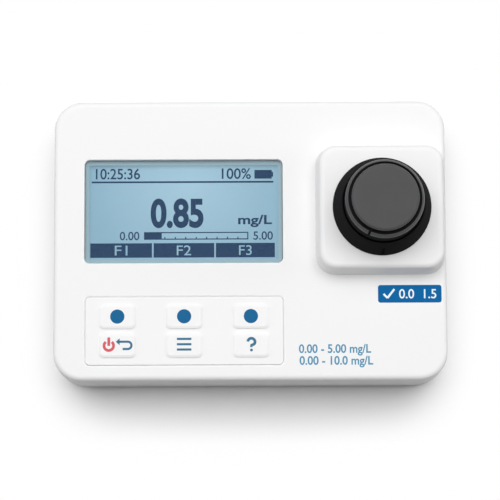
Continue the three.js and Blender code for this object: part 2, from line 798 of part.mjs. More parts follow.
// The casing's screws show from below, so they have their crossed slot
function caseScrew() {
  const slotTop = (driveDepthShare - 1) * caseScrewHeadHeight;
  const slotLength = 2 * caseScrewHeadRadius * driveSlotShare;
  return carve([panScrew(caseScrewRadius, caseScrewReach, caseScrewHeadRadius, caseScrewHeadHeight)], [
    block(slotLength, driveSlotWidth, -caseScrewHeadHeight - cutOverrun, slotTop),
    block(driveSlotWidth, slotLength, -caseScrewHeadHeight - cutOverrun, slotTop),
  ]);
}

function boardScrew() {
  const reach = boardThickness + boardScrewReach - seatGap;
  return panScrew(boardScrewRadius, reach, boardScrewHeadRadius, boardScrewHeadHeight)
    .rotateX(Math.PI);
}

// Cells, contacts and the battery cover, about the middle of the bay

function cell() {
  const end = cellLength / 2;
  const step = end - cellNubHeight;
  return turned([[0, -end], [cellRadius - cellEdge, -end], [cellRadius, cellEdge - end],
    [cellRadius, step - cellEdge], [cellRadius - cellEdge, step], [cellNubRadius, step],
    [cellNubRadius, end], [0, end]], mediumRoundSteps).rotateY(Math.PI / 2);
}

// Leaf that stands against the bay's end wall and leans back onto the cell
function contactLeaf(width) {
  const reach = contactSpace - 2 * seatGap - contactThickness;
  const low = cellAxisZ - cellRadius;
  const line = leafReachShares.map((share, i) => [
    -share * reach, low + leafHeightShares[i] * cellDiameter]);
  return strip(line, contactThickness, width);
}

function endContact() {
  const tabLow = cellAxisZ;
  return carve([contactLeaf(contactWidth),
    block(contactThickness, contactTabWidth, tabLow, boardTopZ)]);
}

function linkContact() {
  const width = cellPitch + contactWidth;
  const reach = contactSpace - 2 * seatGap - contactThickness;
  const notch = block(reach, cellPitch - contactWidth, cellAxisZ - cellDiameter,
    cellAxisZ + cellDiameter, -reach * (leafNotchShare + 1 / 2), 0);
  return carve([contactLeaf(width)], [notch]);
}

function batteryCover() {
  const groove = [coverTopZ + seatGap, coverTopZ + seatGap + coverSealHeight + seatGap];
  const grooveRadius = skirtRadius - coverSealWidth;
  const lugLow = coverTopZ + seatGap + coverSealHeight + lugRise;
  const top = coverTopZ + skirtHeight;
  const profile = [[0, coverLowZ], [coverRadius - coverEdge, coverLowZ],
    [coverRadius, coverLowZ + coverEdge], [coverRadius, coverTopZ], [skirtRadius, coverTopZ],
    [skirtRadius, groove[0]], [grooveRadius, groove[0]], [grooveRadius, groove[1]],
    [skirtRadius, groove[1]], [skirtRadius, top], [skirtRadius - skirtThickness, top],
    [skirtRadius - skirtThickness, coverTopZ], [0, coverTopZ]];
  const pitch = coverDrop / (coverTurnDegrees / 360);
  const rise = pitch * lugDegrees / 2 / 360;
  const section = [[skirtRadius - rootDepth, lugLow - rise], [skirtRadius + lugDepth, lugLow - rise],
    [skirtRadius + lugDepth, lugLow + lugHeight - rise], [skirtRadius - rootDepth, lugLow + lugHeight - rise]];
  const lugs = lugAngles().map((angle) => helix(section,
    angle - THREE.MathUtils.degToRad(lugDegrees / 2), lugDegrees / 360, pitch, lugSteps));
  return carve([turned(profile, coverRoundSteps), ...lugs],
    [block(coinSlotLength, coinSlotWidth, coverLowZ - cutOverrun, coverLowZ + coinSlotDepth)]);
}

function batteryCoverSeal() {
  const low = coverTopZ + seatGap + seatGap / 2;
  const inner = skirtRadius - coverSealWidth + seatGap / 2;
  const outer = skirtRadius + seatGap / 2;
  return turnedRing([[inner, low], [outer, low], [outer, low + coverSealHeight],
    [inner, low + coverSealHeight]], coverRoundSteps);
}

// Main board and what stands on it

function mainBoard() {
  const holes = fourPlaces(boardScrewX, boardScrewY).map(([x, y]) => (
    circleRing(boardScrewRadius + seatGap, smallRoundSteps, boardX + x, boardY + y)));
  const outline = roundedRing(boardLength, boardDepth, boardCornerRadius, smallCornerSteps, boardX, boardY);
  return carve([plate(outline, boardLowZ, boardTopZ, holes)],
    tabSlots(boardLowZ - cutOverrun, boardTopZ + cutOverrun));
}

function processor() {
  return block(processorSize, processorSize, boardTopZ, boardTopZ + processorHeight, chipX, processorY);
}

function buzzer() {
  const top = boardTopZ + buzzerHeight;
  return turned([[0, boardTopZ], [buzzerRadius, boardTopZ], [buzzerRadius, top], [buzzerPortRadius, top],
    [buzzerPortRadius, top - buzzerHeight / 2], [0, top - buzzerHeight / 2]], smallRoundSteps)
    .translate(chipX, buzzerY, 0);
}

// Display, about the middle of the window

function displayPlate(length, depth, low, high) {
  return block(length, depth, low, high, windowX, windowY);
}

function displayFrame() {
  return carve([displayPlate(frameOuterLength, frameOuterDepth, boardTopZ, glassTopZ)], [
    displayPlate(frameInnerLength, frameInnerDepth, boardTopZ - cutOverrun, glassTopZ + cutOverrun),
    block(ribbonWidth + 2 * seatGap, 2 * displayFrameWall + cutOverrun, glassLowZ - seatGap,
      glassTopZ + cutOverrun, windowX, windowY + frameOuterDepth / 2),
  ]);
}

function windowGasket() {
  return plate(windowOutline(-windowSideGap), ledgeTopZ, windowLowZ, [windowOutline(-ledgeWidth)]);
}

// From the edge of the display glass down to the connector
function displayRibbon() {
  const high = (glassLowZ + glassTopZ) / 2;
  const low = boardTopZ + connectorHeight / 2;
  const [bendOut, bendIn] = ribbonBendShares.map((share) => ribbonY + ribbonLength * share);
  const line = [[ribbonY, high], [bendOut, high], [bendIn, low], [ribbonY + ribbonLength, low]];
  return strip(line, ribbonThickness, ribbonWidth).rotateZ(Math.PI / 2).translate(windowX, 0, 0);
}

function ribbonConnector() {
  return block(connectorLength, connectorDepth, boardTopZ, boardTopZ + connectorHeight,
    windowX, connectorY + connectorDepth / 2);
}

// Keypad

function keypadPanel() {
  return plate(keypadOutline(0), keypadLowZ, keypadTopZ, keyPlaces.map((place) => keyOutline(place, seatGap)));
}

// A key about its own middle: cap, flange that holds it under the deck, and stem over the dome
function key() {
  const cap = { width: keyLength, depth: keyDepth, radius: keyCornerRadius, z: keyFlangeTopZ - rootDepth };
  const flange = roundedRing(keyLength + 2 * keyFlangeSide, keyDepth + 2 * keyFlangeFront,
    keyCornerRadius, smallCornerSteps);
  return carve([
    stack([cap, ...edgeLevels(cap, keyFillet, keyTopZ, keyFilletSteps)], smallCornerSteps),
    plate(flange, keyFlangeLowZ, keyFlangeTopZ),
    rod(keyStemRadius, keyStemLowZ, keyFlangeLowZ + rootDepth, smallRoundSteps),
  ]);
}

function keypadMat() {
  const sheet = plate(roundedRing(matLength, matDepth, matCornerRadius, smallCornerSteps, keypadX, keypadY),
    boardTopZ, matTopZ);
  const domes = keyPlaces.map(({ x, y }) => turned([[0, matTopZ - matThickness / 2],
    [domeRadius, matTopZ - matThickness / 2], [domeRadius, matTopZ], [domeTopRadius, domeTopZ],
    [0, domeTopZ]], smallRoundSteps).translate(x, y, 0));
  return carve([sheet, ...domes]);
}

// Collar and optical block, about the well's axis

function cuvetteCollar() {
  const sealLow = turretRoofZ + (turretWall - collarSealHeight) / 2;
  const sealHigh = sealLow + collarSealHeight;
  const shelf = capLowZ - collarShelfGap;
  const sealRadius = collarSpigotRadius - collarSealDepth;
  const collar = turnedRing([
    [blockBore, collarLowZ], [collarSpigotRadius, collarLowZ], [collarSpigotRadius, sealLow],
    [sealRadius, sealLow], [sealRadius, sealHigh], [collarSpigotRadius, sealHigh],
    [collarSpigotRadius, turretTopZ], [collarBaseRadius, turretTopZ],
    [collarBaseRadius, turretTopZ + collarFoot], [collarTopRadius, collarTopZ - collarTopEdge],
    [collarTopRadius - collarTopEdge, collarTopZ], [collarBore, collarTopZ], [collarBore, shelf],
    [blockBore, shelf]], roundSteps);
  return carve([collar], [indexNotch()]);
}

// The mark on the collar's front, cut to an even depth into the cone
function indexNotch() {
  const foot = turretTopZ + collarFoot;
  const notch = block(indexNotchWidth, 2 * collarBaseRadius, turretTopZ + collarFoot / 2,
    turretTopZ + collarHeight * indexNotchShare, 0, -collarBaseRadius);
  const cone = turned([[0, turretTopZ - cutOverrun],
    [collarBaseRadius - indexNotchDepth, turretTopZ - cutOverrun],
    [collarBaseRadius - indexNotchDepth, foot], [collarTopRadius - indexNotchDepth, collarTopZ],
    [0, collarTopZ]], roundSteps);
  return carve([notch], [cone]);
}

function collarSeal() {
  const clearance = (turretWall - collarSealHeight) / 2;
  const low = turretRoofZ + clearance + seatGap / 2;
  const high = turretRoofZ + clearance + collarSealHeight - seatGap / 2;
  const inner = collarSpigotRadius - collarSealDepth + seatGap / 2;
  const outer = collarSpigotRadius + seatGap / 2;
  return turnedRing([[inner, low], [outer, low], [outer, high], [inner, high]], roundSteps);
}

function collarNut() {
  const inner = collarSpigotRadius + seatGap;
  return turnedRing([[inner, turretRoofZ - nutHeight], [inner + nutWidth, turretRoofZ - nutHeight],
    [inner + nutWidth, turretRoofZ], [inner, turretRoofZ]], roundSteps);
}

// A rod along Y at the height of the beam
function beamRod(radius, from, to, steps = smallRoundSteps) {
  return rod(radius, from, to, steps).rotateX(-Math.PI / 2).translate(0, 0, beamZ);
}

function opticalBlock() {
  const padX = beamBossRadius + referencePad;
  const padY = beamSeatEnd + beamSeatDepth / 2;
  const pad = block(padX, referenceSize + 2 * seatGap, beamZ - referenceSize / 2 - seatGap,
    beamZ + referenceSize / 2 + seatGap, -padX / 2, padY);
  const port = rod(referencePortRadius, -padX - cutOverrun, 0, smallRoundSteps)
    .rotateY(Math.PI / 2).translate(0, padY, beamZ);
  return carve(
    [rod(blockRadius, floorTopZ, blockTopZ, roundSteps),
      rod(blockFlangeRadius, floorTopZ, floorTopZ + blockFlangeThickness, roundSteps),
      beamRod(beamBossRadius, -beamBossEnd, beamBossEnd), pad],
    [rod(blockBore, floorTopZ + blockFloor, blockTopZ + cutOverrun, roundSteps),
      beamRod(apertureRadius, -beamBossEnd, beamBossEnd),
      beamRod(beamSeatRadius, beamSeatEnd, beamBossEnd + cutOverrun),
      beamRod(beamSeatRadius, -beamBossEnd - cutOverrun, -beamSeatEnd), port]);
}

// Optical pieces are turned about the beam: height zero is their seat, and they point inwards
function onBeam(profile, side, distance, steps = smallRoundSteps) {
  return turned(profile, steps).rotateX(side * Math.PI / 2).translate(0, side * distance, beamZ);
}

const beamPieceRadius = beamSeatRadius - seatGap;

function lampLens() {
  return onBeam([[0, 0], [beamPieceRadius, 0], [beamPieceRadius, lensThickness - lensCrown],
    [beamPieceRadius * lensRingShares[0], lensThickness - lensCrown * lensRingShares[1]],
    [0, lensThickness]], 1, beamSeatEnd + lensThickness + seatGap);
}

function lamp() {
  return onBeam([[0, 0], [beamPieceRadius, 0], [beamPieceRadius, lampBaseThickness],
    [lampRadius, lampBaseThickness], [lampRadius, lampLength],
    [lampRadius * Math.SQRT1_2, lampLength + lampRadius * Math.SQRT1_2],
    [0, lampLength + lampRadius]], 1, beamBossEnd);
}

function lightFilter() {
  return onBeam([[0, 0], [beamPieceRadius, 0], [beamPieceRadius, filterThickness], [0, filterThickness]],
    -1, beamSeatEnd + filterThickness + seatGap);
}

function photodetector() {
  return onBeam([[0, 0], [beamPieceRadius, 0], [beamPieceRadius, detectorBaseThickness],
    [detectorCanRadius, detectorBaseThickness], [detectorCanRadius, detectorCanHeight],
    [0, detectorCanHeight]], -1, beamBossEnd);
}

function referenceDetector() {
  const x = -(beamBossRadius + referencePad + seatGap + referenceThickness / 2);
  return block(referenceThickness, referenceSize, beamZ - referenceSize / 2, beamZ + referenceSize / 2,
    x, beamSeatEnd + beamSeatDepth / 2);
}

function opticsBoard(side) {
  return block(opticsBoardLength, boardThickness, beamZ - opticsBoardHeight / 2,
    beamZ + opticsBoardHeight / 2, 0, side * (beamBossEnd + seatGap + boardThickness / 2));
}

// A ribbon on edge from the main board to a small optics board
function opticsCable(side) {
  const boardEdge = boardRight + seatGap - wellX;
  const end = -opticsBoardLength / 2 - seatGap;
  const y = side * (beamBossEnd + seatGap + boardThickness / 2);
  const bends = cableBendShares.map((share) => [boardEdge + (end - boardEdge) * share, cableBow]);
  const line = [[boardEdge, 0], ...bends, [end, 0]];
  return strip(line, cableThickness, cableWidth).rotateX(-side * Math.PI / 2).translate(0, y, beamZ);
}

// Cuvette, liner and cap, about the well's axis

function cuvette() {
  const inner = cuvetteRadius - cuvetteWall;
  const neckInner = neckRadius - neckThickness;
  const neckLow = rimZ - neckLength;
  const glass = turned([[0, cuvetteLowZ], [cuvetteRadius - cuvetteBottomEdge, cuvetteLowZ],
    [cuvetteRadius, cuvetteLowZ + cuvetteBottomEdge], [cuvetteRadius, neckLow - shoulderHeight],
    [cuvetteRadius - (cuvetteRadius - neckRadius) * shoulderShares[0],
      neckLow - shoulderHeight * shoulderShares[1]],
    [neckRadius, neckLow], [neckRadius, rimZ], [neckInner, rimZ], [neckInner, neckLow],
    [inner, neckLow - shoulderHeight], [inner, cuvetteLowZ + cuvetteBase],
    [0, cuvetteLowZ + cuvetteBase]], roundSteps);
  const middle = capLowZ + capThreadStart + threadPitch / 2;
  return carve([glass, helix(threadSection(neckRadius, threadRadius, middle), 0, neckThreadTurns,
    threadPitch, neckThreadTurns * threadStepsPerTurn)]);
}

// A thread's section, wide at its root and narrow at its crest, with the root sunk into its wall
function threadSection(root, crest, middle) {
  const sunk = root - Math.sign(crest - root) * rootDepth;
  return [[sunk, middle - threadWidth / 2], [crest, middle - threadWidth / 4],
    [crest, middle + threadWidth / 4], [sunk, middle + threadWidth / 2]];
}

function capLiner() {
  const flange = neckRadius;
  const plug = neckRadius - neckThickness - seatGap;
  return turned([[0, rimZ - linerPlugHeight], [plug, rimZ - linerPlugHeight], [plug, linerLowZ],
    [flange, linerLowZ], [flange, linerTopZ], [0, linerTopZ]], roundSteps);
}

function cuvetteCap() {
  const ringTop = capTopZ - capDiscHeight;
  const bevelLow = ringTop - capBevelHeight;
  const discRadius = capDiscRadius - capDiscTaper;
  const boreStep = ringTop - capGrooveDepth - capWall;
  const cap = turned([[0, capTopZ], [discRadius - capDiscFillet, capTopZ],
    [discRadius, capTopZ - capDiscFillet], [capDiscRadius, ringTop - capGrooveDepth],
    [capRingRadius, ringTop - capGrooveDepth], [capRingRadius, ringTop],
    [capRadius, bevelLow], [capRadius, capLowZ + capRimEdge], [capRadius - capRimEdge, capLowZ],
    [capBore, capLowZ], [capBore, boreStep], [neckRadius + seatGap, boreStep],
    [neckRadius + seatGap, capRoofZ], [0, capRoofZ]], roundSteps);
  const thread = helix(threadSection(capBore, capBore - threadDepth, capLowZ + capThreadStart), 0,
    capThreadTurns, threadPitch, capThreadTurns * threadStepsPerTurn);
  const notch = block(capRadius, capNotchWidth, bevelLow + capBevelHeight / 4, ringTop + cutOverrun,
    capRingRadius + capRadius / 2 - capNotchDepth, 0).rotateZ(THREE.MathUtils.degToRad(capNotchDegrees));
  return carve([cap, thread], [notch]);
}

// Materials

function finish(color, roughness, metalness = 0, opacity = 1) {
  return new THREE.MeshStandardMaterial({ color, roughness, metalness, opacity, transparent: opacity < 1 });
}

const whitePlastic = finish('#f6f6f6', 0.45);
const keyPlastic = finish('#f8f8f8', 0.5);
const blackPlastic = finish('#1c1c1c', 0.6);
const capPlastic = finish('#4a4a4b', 0.35);
const clearWindow = finish('#dfeef5', 0.08, 0, 0.35);
const greyRubber = finish('#3b3c3e', 0.85);
const displayPane = finish('#9cbfd4', 0.2);
const diffuser = finish('#eef4f6', 0.6);
const boardGreen = finish('#1f5c3a', 0.55);
const chipBlack = finish('#202224', 0.5);
const steel = finish('#b9bcc0', 0.3, 1);
const nickel = finish('#c9c6bd', 0.35, 1);
const cellJacket = finish('#2f5f8c', 0.4, 0.3);
const clearGlass = finish('#e8f3f2', 0.05, 0, 0.3);
const filterGlass = finish('#2f8f6b', 0.1, 0.2);
const foil = finish('#c98b3a', 0.5);
const cableGrey = finish('#a9adb2', 0.6);

// The whole object

const waterTester = new THREE.Group();

function add(name, geometry, material, group = waterTester, x = 0, y = 0, z = 0) {
  const mesh = new THREE.Mesh(closedUp(geometry), material);
  mesh.name = name;
  mesh.position.set(x, y, z);
  group.add(mesh);
  return mesh;
}

function addGroup(x, y) {
  const group = new THREE.Group();
  group.position.set(x, y, 0);
  waterTester.add(group);
  return group;
}

function addCasing() {
  add('top_housing', topHousing(), whitePlastic);
  add('bottom_housing', bottomHousing(), whitePlastic);
  add('housing_seal', housingSeal(), greyRubber);
  fourPlaces(footX, footY).forEach(([x, y], i) => (
    add(`foot_${i + 1}`, foot(), greyRubber, waterTester, x, y)));
  fourPlaces(caseScrewX, caseScrewY).forEach(([x, y], i) => (
    add(`case_screw_${i + 1}`, caseScrew(), steel, waterTester, x, y, undersideZ + caseScrewSeatHeight)));
}

function addBatteries() {
  const bay = addGroup(bayX, bayY);
  for (let i = 0; i < cellCount; i += 1) {
    const y = (i - (cellCount - 1) / 2) * cellPitch;
    const turnedRound = i % 2 === 1;
    const mesh = add(`battery_${i + 1}`, cell(), cellJacket, bay, 0, y, cellAxisZ);
    mesh.rotation.z = turnedRound ? Math.PI : 0;
  }
  add('battery_contact_positive', endContact(), nickel, bay, contactPlaneX, -cellPitch);
  add('battery_contact_negative', endContact(), nickel, bay, -contactPlaneX, cellPitch)
    .rotation.z = Math.PI;
  add('battery_link_right', linkContact(), nickel, bay, contactPlaneX, cellPitch / 2);
  add('battery_link_left', linkContact(), nickel, bay, -contactPlaneX, -cellPitch / 2)
    .rotation.z = Math.PI;
  add('battery_cover', batteryCover(), whitePlastic, bay);
  add('battery_cover_seal', batteryCoverSeal(), greyRubber, bay);
}

function addElectronics() {
  add('main_board', mainBoard(), boardGreen);
  add('processor', processor(), chipBlack);
  add('buzzer', buzzer(), chipBlack);
  fourPlaces(boardScrewX, boardScrewY).forEach(([x, y], i) => (
    add(`board_screw_${i + 1}`, boardScrew(), steel, waterTester, boardX + x, boardY + y, boardTopZ)));
  add('display_window', plate(windowOutline(-windowSideGap), windowLowZ, windowTopZ), clearWindow);
  add('window_gasket', windowGasket(), greyRubber);
  add('display_glass', displayPlate(glassLength, glassDepth, glassLowZ, glassTopZ), displayPane);
  add('display_backlight', displayPlate(glassLength, glassDepth, backlightLowZ, backlightTopZ), diffuser);
  add('display_frame', displayFrame(), chipBlack);
  add('display_ribbon', displayRibbon(), foil);
  add('ribbon_connector', ribbonConnector(), chipBlack);
}

function addKeypad() {
  add('keypad_panel', keypadPanel(), keyPlastic);
  keyPlaces.forEach(({ name, x, y }) => add(name, key(), keyPlastic, waterTester, x, y));
  add('keypad_mat', keypadMat(), greyRubber);
}

function addWell() {
  const well = addGroup(wellX, wellY);
  add('cuvette_collar', cuvetteCollar(), blackPlastic, well);
  add('collar_seal', collarSeal(), greyRubber, well);
  add('collar_nut', collarNut(), blackPlastic, well);
  add('optical_block', opticalBlock(), blackPlastic, well);
  add('lamp', lamp(), clearGlass, well);
  add('lamp_lens', lampLens(), clearGlass, well);
  add('lamp_board', opticsBoard(1), boardGreen, well);
  add('lamp_cable', opticsCable(1), cableGrey, well);
  add('light_filter', lightFilter(), filterGlass, well);
  add('photodetector', photodetector(), steel, well);
  add('detector_board', opticsBoard(-1), boardGreen, well);
  add('detector_cable', opticsCable(-1), cableGrey, well);
  add('reference_detector', referenceDetector(), chipBlack, well);
  add('cuvette', cuvette(), clearGlass, well);
  add('cap_liner', capLiner(), greyRubber, well);
  add('cuvette_cap', cuvetteCap(), capPlastic, well);
}

addCasing();
addBatteries();
addElectronics();
addKeypad();
addWell();

export default waterTester;
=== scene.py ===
# Digital water tester: white casing, backlit display, six sprung keys, glass cuvette under a black cap.
# Lengths are millimetres until makePiece puts them into a mesh.
import json
import math

import bmesh
import bpy
import numpy as np
from mathutils import Matrix, Vector
from mathutils.geometry import tessellate_polygon

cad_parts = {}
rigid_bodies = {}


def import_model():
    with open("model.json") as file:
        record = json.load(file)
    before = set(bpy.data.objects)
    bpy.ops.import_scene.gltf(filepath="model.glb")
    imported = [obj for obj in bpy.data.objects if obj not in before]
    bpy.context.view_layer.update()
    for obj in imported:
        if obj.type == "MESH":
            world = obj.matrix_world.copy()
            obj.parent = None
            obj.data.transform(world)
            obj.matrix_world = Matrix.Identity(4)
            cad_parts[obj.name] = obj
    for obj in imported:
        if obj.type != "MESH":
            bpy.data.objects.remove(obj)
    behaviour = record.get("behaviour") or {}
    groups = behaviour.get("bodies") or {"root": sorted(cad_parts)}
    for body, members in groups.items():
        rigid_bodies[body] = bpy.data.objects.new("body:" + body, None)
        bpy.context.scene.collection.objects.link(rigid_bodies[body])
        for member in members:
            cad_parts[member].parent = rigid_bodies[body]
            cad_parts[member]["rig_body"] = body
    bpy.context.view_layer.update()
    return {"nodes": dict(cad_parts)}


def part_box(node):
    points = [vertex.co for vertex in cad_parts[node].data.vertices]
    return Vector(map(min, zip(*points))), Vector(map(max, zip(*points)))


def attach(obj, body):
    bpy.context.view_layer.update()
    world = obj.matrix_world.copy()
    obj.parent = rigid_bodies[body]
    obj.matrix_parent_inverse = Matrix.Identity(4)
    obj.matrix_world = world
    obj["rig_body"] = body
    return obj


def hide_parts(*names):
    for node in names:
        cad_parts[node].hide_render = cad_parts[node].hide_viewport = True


print("loading the frame")
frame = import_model()
nodes = frame["nodes"]
mm = 0.001
joinDistance = 0.002  # points nearer to each other than this become one
seatGap = 0.3  # clearance round each key, lug and the keypad
margin = 0.25  # flat strip beside a rounded edge, which keeps the shading of the face even
near = 0.05  # tolerance where points are picked by their place
hair = 0.01  # how deep the underside of a print lies in the face that carries it
smallRound, middleRound, largeRound = 24, 48, 96  # segments of a whole turn
sharpEdge, fineEdge, softEdge, easyEdge, wideEdge = 0.1, 0.15, 0.2, 0.3, 0.4  # radii that tools leave


class Settings(dict):
    # dictionary whose values are also read with a dot
    __getattr__ = dict.__getitem__


def boxOf(node):
    # lowest and highest corner of a CAD node, in millimetres
    low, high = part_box(node)
    return np.array(low) / mm, np.array(high) / mm


def middleOf(node):
    # half the sum of the node's two corners
    low, high = boxOf(node)
    return (low + high) / 2


print("camera")
# Fitted to the photo through the casing's footprint and height
cameraSettings = Settings(place=(-0.792, -113.226, 848.106), tilt=0.133, swing=-0.007, roll=0.003,
    lens=164.6, sensor=36.0, near=0.05, far=10.0)


def addCamera(settings):
    # turned by roll about its own axis, then by tilt about X and by swing about Z, all in radians
    data = bpy.data.cameras.new("camera")
    data.lens, data.sensor_width = settings.lens, settings.sensor
    data.clip_start, data.clip_end = settings.near, settings.far
    camera = bpy.data.objects.new("camera", data)
    turn = (Matrix.Rotation(settings.swing, 4, "Z") @ Matrix.Rotation(settings.tilt, 4, "X")
        @ Matrix.Rotation(settings.roll, 4, "Z"))
    camera.matrix_world = Matrix.Translation(Vector(settings.place) * mm) @ turn
    bpy.context.scene.collection.objects.link(camera)
    bpy.context.scene.camera = camera


addCamera(cameraSettings)
bpy.context.scene.view_settings.view_transform = "Standard"

# Surfaces: each is a pair of points (n by 3) and faces. Grids are rows by points by three.


def tidyPath(path):
    # leaves out points that repeat the one before them
    step = np.linalg.norm(np.diff(path, axis=0), axis=1)
    return path[np.append(True, step > joinDistance / 2)]


def unit(vectors):
    # each vector divided by its length
    length = np.linalg.norm(vectors, axis=-1, keepdims=True)
    return vectors / np.maximum(length, 1e-9)


def rounded(corners, steps=6, support=margin):
    # Path through corners given as (across, up) or (across, up, radius). Each corner gets an arc that
    # touches both of its sides: it starts at radius / tan(half the corner's angle) from the corner, and its
    # middle lies radius / sin(that half) along the bisector. Long sides keep a point near each end.
    corners = np.array([(*corner, 0)[:3] for corner in corners], float)
    place, radius = corners[:, :2], corners[:, 2:]
    before = unit(np.vstack([place[1:2], place[:-1]]) - place)
    after = unit(np.vstack([place[1:], place[-2:-1]]) - place)
    half = np.arccos(np.clip((before * after).sum(1, keepdims=True), -1, 1)) / 2
    reach = radius / np.maximum(np.tan(half), 1e-9)
    centre = place + unit(before + after) * radius / np.maximum(np.sin(half), 1e-9)
    first, last = place + before * reach - centre, place + after * reach - centre
    start = np.arctan2(first[:, 1], first[:, 0])[:, None]
    sweep = np.arctan2(last[:, 1], last[:, 0])[:, None] - start
    sweep = (sweep + math.pi) % (2 * math.pi) - math.pi
    angle = start + sweep * np.linspace(0, 1, steps + 1)
    arcs = centre[:, None, :] + radius[:, :, None] * np.stack([np.cos(angle), np.sin(angle)], axis=2)
    path = tidyPath(arcs.reshape(-1, 2))
    side = np.diff(path, axis=0)
    room = np.linalg.norm(side, axis=1, keepdims=True) > 4 * support
    along = unit(side) * support * room
    points = np.stack([path[:-1], path[:-1] + along, path[1:] - along], axis=1).reshape(-1, 2)
    return tidyPath(np.vstack([points, path[-1:]]))


def loft(plan, path, steps=10, arc=0):
    # Rounded rectangle carried along a path of (inset, height): the inset moves every side in and takes
    # the same off the corner radius. steps counts the segments of each of the plan's corners. The path's
    # own corners are rounded if arc isn't 0.
    path = rounded(path, arc) if arc else np.array(path, float)
    inset, height = path[:, :1], path[:, 1:]
    turn = (np.arange(4)[:, None] + np.linspace(0, 1, steps + 1)).ravel() * math.pi / 2
    sideX = np.repeat([1, -1, -1, 1], steps + 1)
    sideY = np.repeat([1, 1, -1, -1], steps + 1)
    radius = np.maximum(plan.radius - inset, joinDistance * 2)
    x = plan.x + sideX * (plan.halfX - inset - radius) + radius * np.cos(turn)
    y = plan.y + sideY * (plan.halfY - inset - radius) + radius * np.sin(turn)
    return np.stack([x, y, height + 0 * x], axis=2)


def roundPlan(x, y, halfX, halfY, radius, grow=0):
    # rounded rectangle by its middle, half sizes and corner radius, the last three made larger by grow
    return Settings(x=x, y=y, halfX=halfX + grow, halfY=halfY + grow, radius=radius + grow)


def around(centre, radius, angle, height):
    # points at x + r cos a, y + r sin a
    return np.stack([centre[0] + radius * np.cos(angle), centre[1] + radius * np.sin(angle), height], axis=2)


def lathe(path, centre, steps=largeRound, arc=0, shape=None):
    # Path of (radius, height) turned about an upright axis, with its corners rounded if arc isn't 0.
    # shape may change the radius, from the radius, angle and height of every point at once.
    path = rounded(path, arc) if arc else np.array(path, float)
    angle = np.arange(steps) / steps * 2 * math.pi if np.isscalar(steps) else steps
    radius, height = path[:, :1] + 0 * angle, path[:, 1:] + 0 * angle
    if shape:
        radius = shape(radius, angle + 0 * radius, height)
    return around(centre, radius, angle, height)


def turnAngles(edges, step=3, close=near):
    # whole turn of angles in radians, with a pair at each edge so that the step there is upright. edges,
    # step and close are degrees.
    pairs = [(edge + side) % 360 for edge in edges for side in (-close, close)]
    return np.radians(np.unique(np.concatenate([np.arange(0, 360, step), pairs])))


def skin(*grids):
    # for each grid, quads between its neighbouring rows, which are closed rings
    surfaces = []
    for grid in grids:
        rows, columns = grid.shape[:2]
        row, column = np.meshgrid(np.arange(rows - 1), np.arange(columns), indexing="ij")
        here, beside = row * columns + column, row * columns + (column + 1) % columns
        faces = np.stack([here, beside, beside + columns, here + columns], axis=-1)
        surfaces.append((grid.reshape(-1, 3), faces.reshape(-1, 4).tolist()))
    return surfaces


def fill(*rings):
    # flat face inside the first ring, with the other rings as holes
    loops = [[Vector((p[0], p[1], 0)) for p in ring] for ring in rings]
    return [(np.vstack(rings), [list(face) for face in tessellate_polygon(loops)])]


def ends(grids, end):
    # one ring of each grid: 0 is the first, -1 the last
    return [grid[end] for grid in grids]


def slab(plan, low, high, edge=0.0, holes=(), steps=8):
    # plate whose outline runs from its lower to its upper face, with a rounded upper rim all round
    def wall(outline, side):
        corners = [(0, low), (0, high, edge), (side * 2 * edge, high)] if edge else [(0, low), (0, high)]
        return loft(outline, corners, steps, 4)
    outer = wall(plan, 1)
    inner = [wall(hole, -1) for hole in holes]
    return skin(outer, *inner) + fill(outer[0], *ends(inner, 0)) + fill(outer[-1], *ends(inner, -1))


def disc(x, y, radius, low, high, steps=middleRound):
    # short cylinder, closed below and above
    grid = lathe([[radius, low], [radius, high]], (x, y), steps)
    return skin(grid) + fill(grid[0]) + fill(grid[-1])


def band(line, width, low, high):
    # flat strip: the points of a line moved half a width to each side, at two heights
    line = np.array(line, float)
    side = unit(np.gradient(line, axis=0))[:, ::-1] * (-width / 2, width / 2)
    edges = [(line + side, low), (line - side, low), (line - side, high), (line + side, high)]
    grid = np.stack([np.column_stack([p, np.full(len(p), z)]) for p, z in edges], axis=1)
    points, faces = skin(grid)[0]
    last = len(points) - 4
    return [(points, faces + [[3, 2, 1, 0], [last, last + 1, last + 2, last + 3]])]


def arcLine(x, y, radius, first, last, steps=24):
    # points x + r cos a, y + r sin a, with a in equal steps between two angles in degrees
    angle = np.radians(np.linspace(first, last, steps + 1))
    return np.stack([x + radius * np.cos(angle), y + radius * np.sin(angle)], axis=1)


def lettering(text, box, low, high, weight=0.0):
    # plain built-in letters, made a mesh and stretched into box = (left, right, front, back)
    curve = bpy.data.curves.new("lettering", "FONT")
    curve.body, curve.extrude, curve.offset = text, 0.5, weight
    holder = bpy.data.objects.new("lettering", curve)
    mesh = bpy.data.meshes.new_from_object(holder)
    points = np.zeros(len(mesh.vertices) * 3)
    mesh.vertices.foreach_get("co", points)
    points = points.reshape(-1, 3)
    least, most = points.min(0), points.max(0)
    target = np.array([[box[0], box[2], low], [box[1], box[3], high]])
    points = target[0] + (points - least) / (most - least) * (target[1] - target[0])
    faces = [list(face.vertices) for face in mesh.polygons]
    bpy.data.objects.remove(holder)
    bpy.data.curves.remove(curve)
    bpy.data.meshes.remove(mesh)
    return [(points, faces)]


